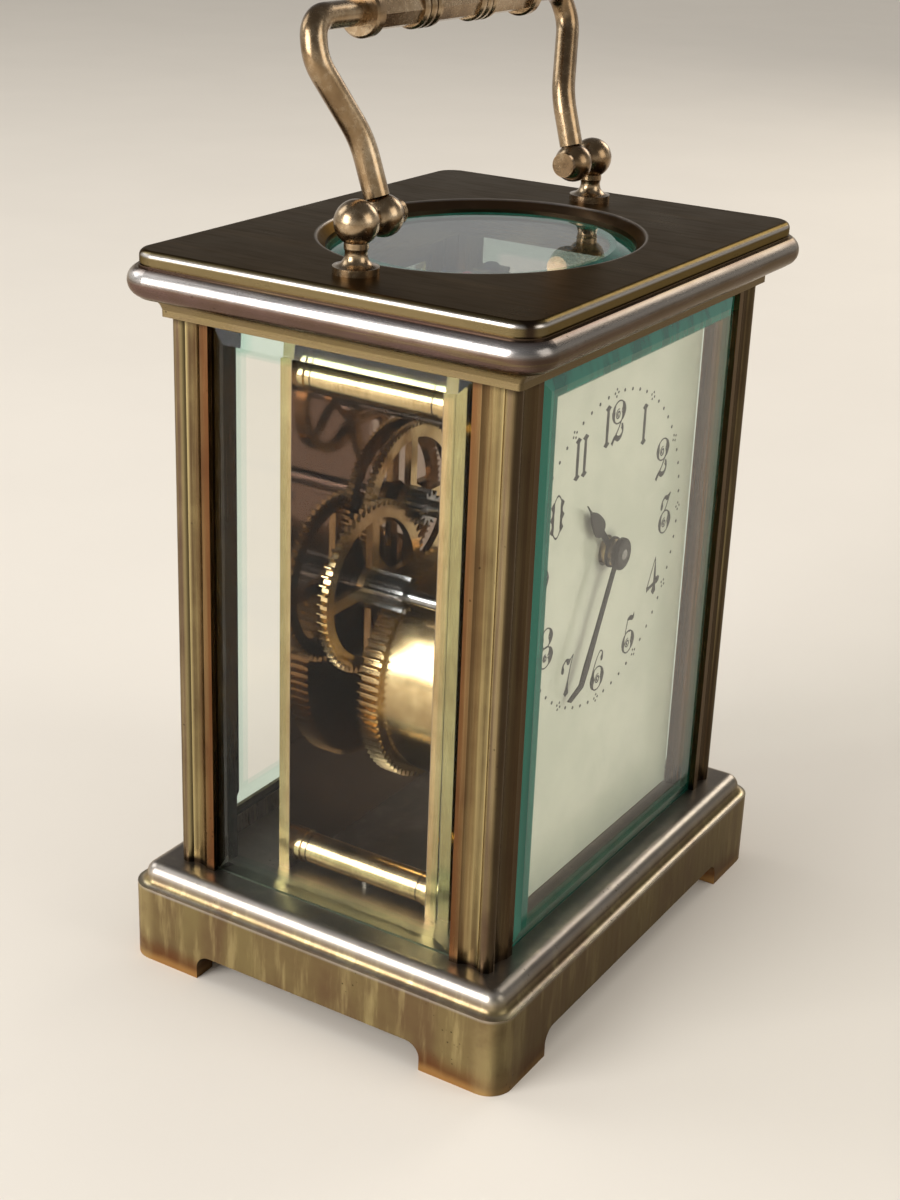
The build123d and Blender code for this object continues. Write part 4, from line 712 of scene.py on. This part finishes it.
# The head's radius and height, the shank's radius and, if no piece sets it, its length, in millimetres
SCREWS = {
    "plate": (1.6, 1.1, 0.9, 6.8),
    "platform": (1.2, 0.9, 0.6, 5.4),
    "cock": (1.0, 0.6, 0.5, None),
    "floor": (2.1, 1.3, 1.1, None),
    "movement": (2.1, 1.1, 0.9, 6.8),
}
# Where the screw of each cock stands, in millimetres to the right and to the back
COCK_SPOTS = {"escape_cock": (6.5, 2.2), "lever_cock": (-4.0, -9.6), "balance_cock": (-17.9, -3.0)}


def slotted_head(radius, height, shank, depth):
    """A screw head with a chamfered rim and a slot, its seat at Z zero, with its shank below."""
    fittings = settings("clock_fittings")
    ease = radius * 0.14
    head = new_object("head", to_mesh(lathe([
        (0, -depth), (shank, -depth), (shank, 0), (radius, 0), (radius, height - ease),
        (radius - ease, height), (0, height),
    ])))
    slot = bmesh.new()
    bmesh.ops.create_cube(slot, size=1)
    size = (2.4 * radius, fittings.slot_width, 2 * fittings.slot_depth)
    bmesh.ops.scale(slot, vec=size, verts=slot.verts)
    bmesh.ops.translate(slot, vec=(0, 0, height), verts=slot.verts)
    cutter = new_object("slot", to_mesh(slot))
    cut = head.modifiers.new("slot", "BOOLEAN")
    cut.object = cutter
    cut.solver = "EXACT"
    mesh = baked(head)
    bpy.data.objects.remove(cutter)
    return mesh


def screws_at(kind, spots, pattern, material, depth=None):
    """One mesh of screws of a kind, seated at these spots, with their slots turned at random."""
    radius, height, shank, usual = SCREWS[kind]
    head = new_object("head", slotted_head(radius * MM, height * MM, shank * MM, depth or usual * MM))
    points = bpy.data.meshes.new("spots")
    points.from_pydata(spots, [], [])
    base = new_object("spots", points)
    seed = settings("clock_fittings").seed
    pattern.apply(base, {"Piece": head, "Turn": pi, "Seed": seed, "Material": material})
    mesh = baked(base)
    bpy.data.objects.remove(head)
    return mesh


def join(parts):
    """One shape from several meshes, each with the matrix that places it."""
    shape = bmesh.new()
    for mesh, place in parts:
        mesh.transform(place)
        shape.from_mesh(mesh)
        bpy.data.meshes.remove(mesh)
    return shape


def fit(name, shape, material, body):
    """Closes a shape into a piece that rides on a body."""
    bmesh.ops.remove_doubles(shape, verts=shape.verts, dist=1e-7)
    bmesh.ops.recalc_face_normals(shape, faces=shape.faces)
    return settle(name, to_mesh(shape, name), material, body)


def line(*points):
    """A run of (x, y, half width) from points in thousandths of a numeral's height."""
    return [tuple(value / 1000 for value in point) for point in points]


def bend(*points):
    """A smooth run through points in thousandths of a numeral's height."""
    points = line(*points)
    steps = 7
    run = []
    for four in zip((points[0], *points), points, points[1:], (*points[2:], points[-1])):
        for step in range(steps):
            part = step / steps
            run.append(tuple(
                0.5 * (2 * b + (c - a) * part + (2 * a - 5 * b + 4 * c - d) * part**2
                       + (3 * b - a - 3 * c + d) * part**3)
                for a, b, c, d in zip(*four)
            ))
    return [*run, points[-1]]


def ribbon(shape, run, offset, look):
    """A flat stroke of changing width, in the XY plane, with its film thickness above Z zero."""
    least = 0.004
    rows = []
    for behind, (x, y, half), ahead in zip((run[0], *run), run, (*run[1:], run[-1])):
        along = Vector((ahead[0] - behind[0], ahead[1] - behind[1])).normalized()
        across = Vector((-along.y, along.x)) * max(half * look.weight, least)
        middle = Vector((x, y))
        spots = [spot * look.numeral_height + offset for spot in (middle + across, middle - across)]
        rows.append([shape.verts.new((*spot, height)) for height in (look.film, 0) for spot in spots])
    for first, second in zip(rows, rows[1:]):
        for a, b in ((0, 1), (1, 3), (3, 2), (2, 0)):
            shape.faces.new((first[a], first[b], second[b], second[a]))
    for row in (rows[0], rows[-1]):
        shape.faces.new((row[0], row[1], row[3], row[2]))


def loop_stroke(x, y, reach, rise, heavy):
    """A closed loop with a lozenge at its right and left, of these half widths."""
    run = []
    for step in range(41):
        angle = 2 * pi * step / 40
        side = angle if cos(angle) > 0 else angle - pi
        swell = max(0, 1 - abs(atan2(sin(side), cos(side))) / 0.95)
        half = 0.015 + swell * (heavy[0] if cos(angle) > 0 else heavy[1])
        run.append((x + (reach - 0.5 * half) * cos(angle), y + rise * sin(angle), half))
    return run


def eye_stroke(x, y, reach=0.13):
    """The small spiral inside a loop."""
    run = []
    for step in range(21):
        angle = 3.2 * pi * step / 20
        radius = reach * (1 - 0.8 * step / 20)
        run.append((x + radius * cos(angle + 1.2), y + radius * sin(angle + 1.2), 0.010 + 0.014 * step / 20))
    return run


# Strokes of the digits. Points are thousandths of a numeral's height from the digit's middle
CAP = [(-180, 330, 16), (-80, 460, 14), (0, 500, 20), (80, 460, 14), (180, 330, 16)]
SIDE = [
    (170, 380, 14), (220, 290, 70), (180, 190, 40), (190, 80, 40), (230, 0, 80), (190, -80, 40),
    (180, -190, 40), (220, -290, 70), (170, -380, 14),
]
BOWL = loop_stroke(0, -0.21, 0.28, 0.29, (0.075, 0.05))
ZERO = [line(*((side * x, y, half) for x, y, half in SIDE)) for side in (-1, 1)] + [
    bend(*((x, end * y, half) for x, y, half in CAP)) for end in (-1, 1)
]
ONE = [line(
    (0, 510, 0), (0, 430, 115), (0, 370, 45), (0, 0, 52), (0, -370, 45), (0, -430, 115), (0, -510, 0),
)]
TWO = [
    loop_stroke(0, 0.22, 0.29, 0.27, (0.075, 0.05)),
    eye_stroke(-0.02, 0.17),
    bend((200, 60, 20), (20, -200, 18), (-180, -400, 30), (-270, -500, 45)),
    bend(
        (-250, -470, 30), (-120, -360, 45), (20, -420, 55), (160, -400, 40), (250, -280, 25), (200, -150, 50),
        (170, -140, 30),
    ),
]
THREE = [
    bend((240, 500, 15), (80, 400, 55), (-40, 440, 35), (-180, 360, 20), (-200, 200, 55), (-170, 160, 20)),
    bend((220, 480, 12), (40, 180, 16), (-60, 60, 16)),
    BOWL,
    eye_stroke(-0.02, -0.24),
]
FOUR = [
    line((100, 500, 4), (120, 100, 40), (120, -300, 50)),
    line((120, -270, 50), (100, -400, 100), (90, -500, 0)),
    line((100, 500, 12), (-280, -220, 16)),
    bend((-300, -260, 60), (-140, -240, 35), (100, -200, 45), (280, -120, 85), (310, -40, 0)),
]
FIVE = [
    bend((240, 500, 10), (180, 380, 45), (40, 420, 50), (-100, 400, 20)),
    bend((-60, 440, 14), (-120, 250, 14), (-160, 60, 14), (-20, 70, 16), (100, 50, 20)),
    BOWL,
    eye_stroke(-0.03, -0.24),
]
SIX = [
    loop_stroke(0, -0.20, 0.29, 0.30, (0.065, 0.085)),
    eye_stroke(0.02, -0.22),
    bend(
        (-270, -160, 50), (-220, 80, 22), (-80, 340, 16), (80, 490, 16), (200, 420, 20), (170, 270, 55),
        (130, 250, 20),
    ),
]
SEVEN = [
    bend(
        (-200, 160, 20), (-240, 220, 55), (-240, 360, 25), (-100, 460, 20), (20, 380, 65), (100, 410, 20),
        (240, 500, 12),
    ),
    bend((240, 500, 12), (120, 200, 16), (30, -150, 22)),
    line((40, -100, 20), (0, -300, 50), (-20, -420, 100), (-40, -500, 0)),
]
EIGHT = [
    loop_stroke(0, 0.25, 0.24, 0.24, (0.075, 0.055)),
    loop_stroke(0, -0.23, 0.28, 0.26, (0.095, 0.06)),
    eye_stroke(-0.02, -0.25, 0.10),
]
NINE = [[(-x, -y, half) for x, y, half in run] for run in SIX]
DIGITS = (ZERO, ONE, TWO, THREE, FOUR, FIVE, SIX, SEVEN, EIGHT, NINE)


def write_numeral(shape, text, middle, look):
    """Draws a numeral of one or two digits round its middle."""
    narrow, wide, gap = 0.24, 0.62, 0.10
    widths = [narrow if digit == "1" else wide for digit in text]
    start = -(sum(widths) + gap * (len(text) - 1)) / 2
    for digit, width in zip(text, widths):
        shift = Vector((start + width / 2, 0)) * look.numeral_height + middle
        for run in DIGITS[int(digit)]:
            ribbon(shape, run, shift, look)
        start += width + gap


class CLOCK_OT_case(bpy.types.Operator):
    """Finish the base, pillars, cornice, top plate and back door"""

    bl_idname = "clock.finish_case"
    bl_label = "Case"

    def execute(self, context):
        look = settings("clock_case")
        calm = (look.brown, look.olive, look.gold)
        pale = (shaded(look.brown, 1.8), look.olive, look.gold)
        moulding = (look.brown, look.plum, look.olive)
        dark = (look.lid, shaded(look.lid, 1.35), look.brown)
        pillars = "pillar_front_left pillar_front_right pillar_rear_left pillar_rear_right"
        # In each finish, faces that look to the front are darkened as painted shade.
        dress("case_base", case_metal("base_bronze", (2.4, 2.4, 16), pale, base_masks, shine=0.26))
        bronze = case_metal("pillar_bronze", (1, 1, 60), calm, pillar_masks, shine=0.16, painted_front_shade=0.85)
        dress(pillars, bronze)
        dress("cornice", case_metal("cornice_bronze", (30, 30, 1), moulding, cornice_masks, shine=0.18))
        dress("top_plate", case_metal("lid_bronze", (3, 30, 1), dark, lid_masks, glance=0.5, painted_front_shade=0.35))
        dress("door_frame door_knob", case_metal("door_bronze", (1, 1, 20), calm, door_masks))
        return {"FINISHED"}


class CLOCK_OT_handle(bpy.types.Operator):
    """Finish the carrying handle and its posts"""

    bl_idname = "clock.finish_handle"
    bl_label = "Handle"

    def execute(self, context):
        dress("handle_posts handle_pivot_screws handle_arms handle_grip", handle_metal())
        return {"FINISHED"}


class CLOCK_OT_glass(bpy.types.Operator):
    """Finish the five panes of glass"""

    bl_idname = "clock.finish_glass"
    bl_label = "Glass"

    def execute(self, context):
        for name in ("front_glass", "top_glass", "left_glass", "right_glass", "door_glass"):
            # Each pane's share of painted reflection in its bevels.
            dress(name, glass(name, {"front_glass": 1.0, "top_glass": 0.6}.get(name, 0.0)))
        return {"FINISHED"}


class CLOCK_OT_movement(bpy.types.Operator):
    """Finish the plates, the wheels, the arbors and the platform"""

    bl_idname = "clock.finish_movement"
    bl_label = "Movement"

    def execute(self, context):
        look = settings("clock_movement")
        dress("front_plate back_plate", plate_metal())
        dress("dial_backing", movement_metal("backing_brass", streak=(1, 1, 14)))
        for names, joint in (
            ("barrel_drum barrel_cover", "barrel_spin"), ("intermediate_wheel", "intermediate_spin"),
            ("centre_wheel", "centre_spin"), ("third_wheel", "third_spin"),
            ("contrate_wheel", "contrate_spin"), ("minute_wheel", "minute_work_spin"),
            ("hour_wheel", "hour_work_spin"),
        ):
            label = joint.split("_")[0]
            dress(names, movement_metal(label + "_brass", centre=hinge(joint)))
        collar = 2.2
        groove = abs(corners("front_plate")[1].y) - collar
        dress("movement_pillars", movement_metal("bar_brass", streak=(8, 0.4, 8), groove=groove))
        platform = "platform_plate potence escape_cock lever_cock balance_cock"
        dress(platform, movement_metal("platform_brass", streak=(12, 1, 1)))
        dress("balance_wheel escape_wheel", movement_metal("balance_brass", streak=(2, 2, 1)))
        steel = (
            "barrel_arbor ratchet_wheel click intermediate_arbor centre_arbor third_arbor contrate_arbor "
            "escape_arbor lever balance_staff cannon_pinion regulator_index door_hinge_pins"
        )
        dress(steel, steel_metal("polished_steel", look.steel, look.tarnish))
        dress("hairspring click_spring mainspring", steel_metal("blued_steel", look.blue, look.steel))
        return {"FINISHED"}


class CLOCK_OT_dial(bpy.types.Operator):
    """Finish the enamel dial and fire its numerals and dots on it"""

    bl_idname = "clock.print_dial"
    bl_label = "Dial"

    def execute(self, context):
        look = settings("clock_dial")
        dress("dial", enamel())
        black = ink()
        centre = hinge("centre_spin")
        face = tipped(pi / 2, centre.x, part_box("dial")[0].y, centre.z)
        shape = bmesh.new()
        for hour in range(1, 13):
            angle = 2 * pi * hour / 12
            middle = Vector((sin(angle), cos(angle))) * look.numeral_radius
            write_numeral(shape, str(hour), middle, look)
        bmesh.ops.transform(shape, matrix=face, verts=shape.verts)
        fit("dial_numerals", shape, black, "case")

        pattern = ring_pattern()
        minutes = (look.dot_radius, 12, ((60, look.ring_radius, 5),))
        groups = (look.group_dot, 10, ((4, look.group_reach, 0), (12, look.ring_radius, 0)))
        for name, (radius, segments, rings) in (("minute_dots", minutes), ("five_minute_groups", groups)):
            outline = [(0, 0), (radius, 0), (radius, look.film), (0, look.film)]
            dot = new_object("dot", to_mesh(lathe(outline, segments)))
            for count, reach, gap in rings:
                pattern.apply(dot, {"Count": count, "Radius": reach, "Leave Out": gap, "Material": black})
            mesh = baked(dot)
            mesh.transform(face)
            settle(name, mesh, black, "case")
        return {"FINISHED"}


class CLOCK_OT_hands(bpy.types.Operator):
    """Finish the hands and their collet"""

    bl_idname = "clock.finish_hands"
    bl_label = "Hands"

    def execute(self, context):
        look = settings("clock_movement")
        dress("hour_hand minute_hand hand_collet", steel_metal("hand_steel", look.hand, look.tarnish))
        return {"FINISHED"}


class CLOCK_OT_screws(bpy.types.Operator):
    """Fit slotted screws in the plates, the platform and the floor of the case"""

    bl_idname = "clock.fit_screws"
    bl_label = "Screws"

    def execute(self, context):
        look = settings("clock_movement")
        blued = steel_metal("screw_blue", look.blue, look.steel)
        bright = steel_metal("screw_steel", look.steel, look.tarnish)
        pattern = scatter_pattern()
        parts = self.plate_screws(pattern, blued)
        piece = fit("plate_screw_set", join(parts), blued, "case")
        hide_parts("plate_screws")
        parts = self.platform_screws(pattern, blued)
        piece = fit("platform_screw_set", join(parts), blued, "case")
        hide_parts("platform_screws")
        parts = self.case_screws(pattern, bright)
        piece = fit("case_screw_set", join(parts), bright, "case")
        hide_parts("case_screws")
        return {"FINISHED"}

    def plate_screws(self, pattern, material):
        """Eight screws through the plates into the movement pillars, the click screw and the minute stud."""
        radius, shank = SCREWS["plate"][0] * MM, SCREWS["plate"][2] * MM
        low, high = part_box("plate_screws")
        front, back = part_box("front_plate"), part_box("back_plate")[1].y
        spots = [(side * (high.x - radius), z) for side in (-1, 1) for z in (low.z + radius, high.z - radius)]
        parts = []
        for y, way in ((front[0].y, -1), (back, 1)):
            mesh = screws_at("plate", [(way * x, z, 0) for x, z in spots], pattern, material)
            flip = Matrix.Scale(-1, 4, (0, 1, 0)) if way > 0 else Matrix.Identity(4)
            parts.append((mesh, tipped(-way * pi / 2, 0, y, 0) @ flip))

        click = hinge("click_lift")
        play, grip = 0.05 * MM, 1.8 * MM
        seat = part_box("click")[1].y + play
        head = slotted_head(radius, high.y - seat, shank, seat - back + grip)
        parts.append((head, tipped(-pi / 2, click.x, seat, click.z)))

        stud = hinge("minute_work_spin")
        wide, slim, ease = 0.7 * MM, 0.6 * MM, 0.1 * MM
        reach = front[1].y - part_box("minute_wheel")[0].y
        rod = to_mesh(lathe([(0, 0), (wide, 0), (wide, reach - ease), (slim, reach), (0, reach)]))
        return [*parts, (rod, tipped(pi / 2, stud.x, front[1].y, stud.z))]

    def platform_screws(self, pattern, material):
        """Four screws that hold the platform and one in each cock."""
        radius, inset = SCREWS["platform"][0] * MM, 0.9 * MM
        low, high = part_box("platform_screws")
        bottom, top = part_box("platform_plate")
        edge = top.y - inset
        spots = [(x, y, top.z) for x in (low.x + radius, high.x - radius) for y in (-edge, edge)]
        meshes = [screws_at("platform", spots, pattern, material)]
        for name, (x, y) in COCK_SPOTS.items():
            head = SCREWS["cock"][1] * MM
            seat = high.z - head if name == "balance_cock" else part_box(name)[1].z
            meshes.append(screws_at("cock", [(x * MM, y * MM, seat)], pattern, material, seat - bottom.z))
        return [(mesh, Matrix.Identity(4)) for mesh in meshes]

    def case_screws(self, pattern, material):
        """Screws under the floor of the case, into the pillars and the lower movement pillars."""
        radius, height = (size * MM for size in SCREWS["floor"][:2])
        low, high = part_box("case_screws")
        floor = low.z + height
        low, high = low + Vector((radius, radius, 0)), high - Vector((radius, radius, 0))
        spots = [(x, -y, 0) for x in (low.x, high.x) for y in (low.y, high.y)]
        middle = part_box("plate_screws")[1].x - SCREWS["plate"][0] * MM
        down = tipped(pi, 0, 0, floor)
        return [
            (screws_at("floor", spots, pattern, material, high.z - floor), down),
            (screws_at("movement", [(-middle, 0, 0), (middle, 0, 0)], pattern, material), down),
        ]


class CLOCK_OT_balance(bpy.types.Operator):
    """Fit the timing screws round the balance and the jewels in the cocks"""

    bl_idname = "clock.fit_balance"
    bl_label = "Balance and jewels"

    def execute(self, context):
        look = settings("clock_movement")
        fittings = settings("clock_fittings")
        gilt = steel_metal("rim_screw_gilt", look.brass, look.deep)
        low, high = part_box("balance_wheel")
        radius, reach = fittings.rim_screw_radius, fittings.rim_screw_length
        outline = [(0, -reach), (radius, -reach), (radius, reach * 0.7), (radius * 0.8, reach), (0, reach)]
        mesh = to_mesh(lathe(outline, segments=14))
        mesh.transform(Matrix.Rotation(pi / 2, 4, "Y"))
        screw = new_object("screw", mesh)
        ring_pattern().apply(screw, {
            "Count": fittings.rim_screws, "Radius": (high.x - low.x) / 2, "Leave Out": 0, "Material": gilt,
        })
        mesh = baked(screw)
        mesh.transform(Matrix.Translation((low + high) / 2))
        settle("balance_screws", mesh, gilt, "balance")

        size, rim, crown, hollow = fittings.jewel_radius, 0.05 * MM, 0.14 * MM, 0.08 * MM
        outline = [(0, 0), (size, 0), (size, rim), (size * 0.6, crown), (0, hollow)]
        parts = []
        for name, joint in (
            ("escape_cock", "escape_spin"), ("lever_cock", "lever_rock"), ("balance_cock", "balance_swing"),
        ):
            spot = hinge(joint)
            place = Matrix.Translation((spot.x, spot.y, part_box(name)[1].z))
            parts.append((to_mesh(lathe(outline, segments=20)), place))
        fit("jewels", join(parts), jewel(), "case")
        return {"FINISHED"}


class CLOCK_OT_stage(bpy.types.Operator):
    """Set the floor, the lamps and the camera"""

    bl_idname = "clock.set_stage"
    bl_label = "Stage"

    def execute(self, context):
        look = settings("clock_stage")
        scene = context.scene
        scene.view_settings.view_transform = "Standard"
        grid = bmesh.new()
        bmesh.ops.create_grid(grid, x_segments=4, y_segments=4, size=4)
        plane = new_object("floor", to_mesh(grid))
        coat = Finish("floor_paint")
        body = coat.mix(coat.grain(60, detail=4), look.floor, shaded(look.floor, 0.94))
        plane.data.materials.append(coat.surface(Base_Color=body, Roughness=0.9, Specular_IOR_Level=0.05))

        world = bpy.data.worlds.new("soft_room")
        world.use_nodes = True
        room = Graph(world.node_tree)
        way = room.add("TexCoord", output="Generated")
        height = room.add("SeparateXYZ", {0: way}, output="Z")
        ray = room.add("LightPath", output="Is Camera Ray")
        through = room.maths("MAXIMUM", ray, ray.output("Is Transmission Ray"))
        seen = room.maths("MAXIMUM", through, ray.output("Is Glossy Ray"))
        sky = room.mix(room.soft(height, 0.08, 0.5), look.sky, look.ceiling)
        fill = room.add("Background", {"Color": (1.0, 0.985, 0.96, 1), "Strength": look.fill})
        backdrop = room.add("Background", {"Color": sky})
        blend = room.add("MixShader", {0: seen, 1: fill, 2: backdrop})
        room.add("OutputWorld", {"Surface": blend})
        scene.world = world

        # Each lamp's place and width in metres, its share of the key power and its tint
        lamps = {
            "left": ((-0.74, 0.30, 0.38), 0.50, 1.15, (0.98, 0.98, 1.0)),
            "front": ((0.15, -0.90, 0.50), 0.60, 0.5, (1.0, 0.98, 0.95)),
            "right": ((0.80, -0.10, 0.45), 0.35, 0.3, (1.0, 0.95, 0.88)),
            "back": ((-0.15, 0.85, 0.65), 0.50, 0.4, (0.94, 0.97, 1.0)),
        }
        for name, (spot, size, share, tint) in lamps.items():
            lamp = bpy.data.lights.new(name, "AREA")
            lamp.size = size
            lamp.energy = look.key * share
            lamp.color = tint
            point_at(new_object(name, lamp), spot, (0, 0, 0.05))

        camera = bpy.data.cameras.new("camera")
        camera.lens = look.lens
        camera.clip_start = 0.01
        camera.clip_end = 20
        scene.camera = new_object("camera", camera)
        point_at(scene.camera, look.place, look.aim, look.roll)
        return {"FINISHED"}


class CLOCK_PT_panel(bpy.types.Panel):
    """Lists the steps and the sizes and colours that they read"""

    bl_idname = "CLOCK_PT_panel"
    bl_label = "Travelling clock"
    bl_space_type = "VIEW_3D"
    bl_region_type = "UI"
    bl_category = "Clock"

    def draw(self, context):
        for operator in OPERATORS:
            self.layout.operator(operator.bl_idname)
        for name, group in GROUPS.items():
            box = self.layout.box()
            box.label(text=group.__doc__)
            for field in group.__annotations__:
                box.prop(getattr(context.scene, name), field)


OPERATORS = (
    CLOCK_OT_case, CLOCK_OT_handle, CLOCK_OT_glass, CLOCK_OT_movement, CLOCK_OT_dial, CLOCK_OT_hands,
    CLOCK_OT_screws, CLOCK_OT_balance, CLOCK_OT_stage,
)


def register():
    for kind in (*GROUPS.values(), *OPERATORS, CLOCK_PT_panel):
        bpy.utils.register_class(kind)
    for name, group in GROUPS.items():
        setattr(bpy.types.Scene, name, PointerProperty(type=group))


def unregister():
    for name in GROUPS:
        delattr(bpy.types.Scene, name)
    for kind in (*GROUPS.values(), *OPERATORS, CLOCK_PT_panel):
        bpy.utils.unregister_class(kind)


def main():
    """Dresses the clock step by step."""
    register()
    for operator in OPERATORS:
        group, name = operator.bl_idname.split(".")
        getattr(getattr(bpy.ops, group), name)()


if __name__ == "__main__":
    main()
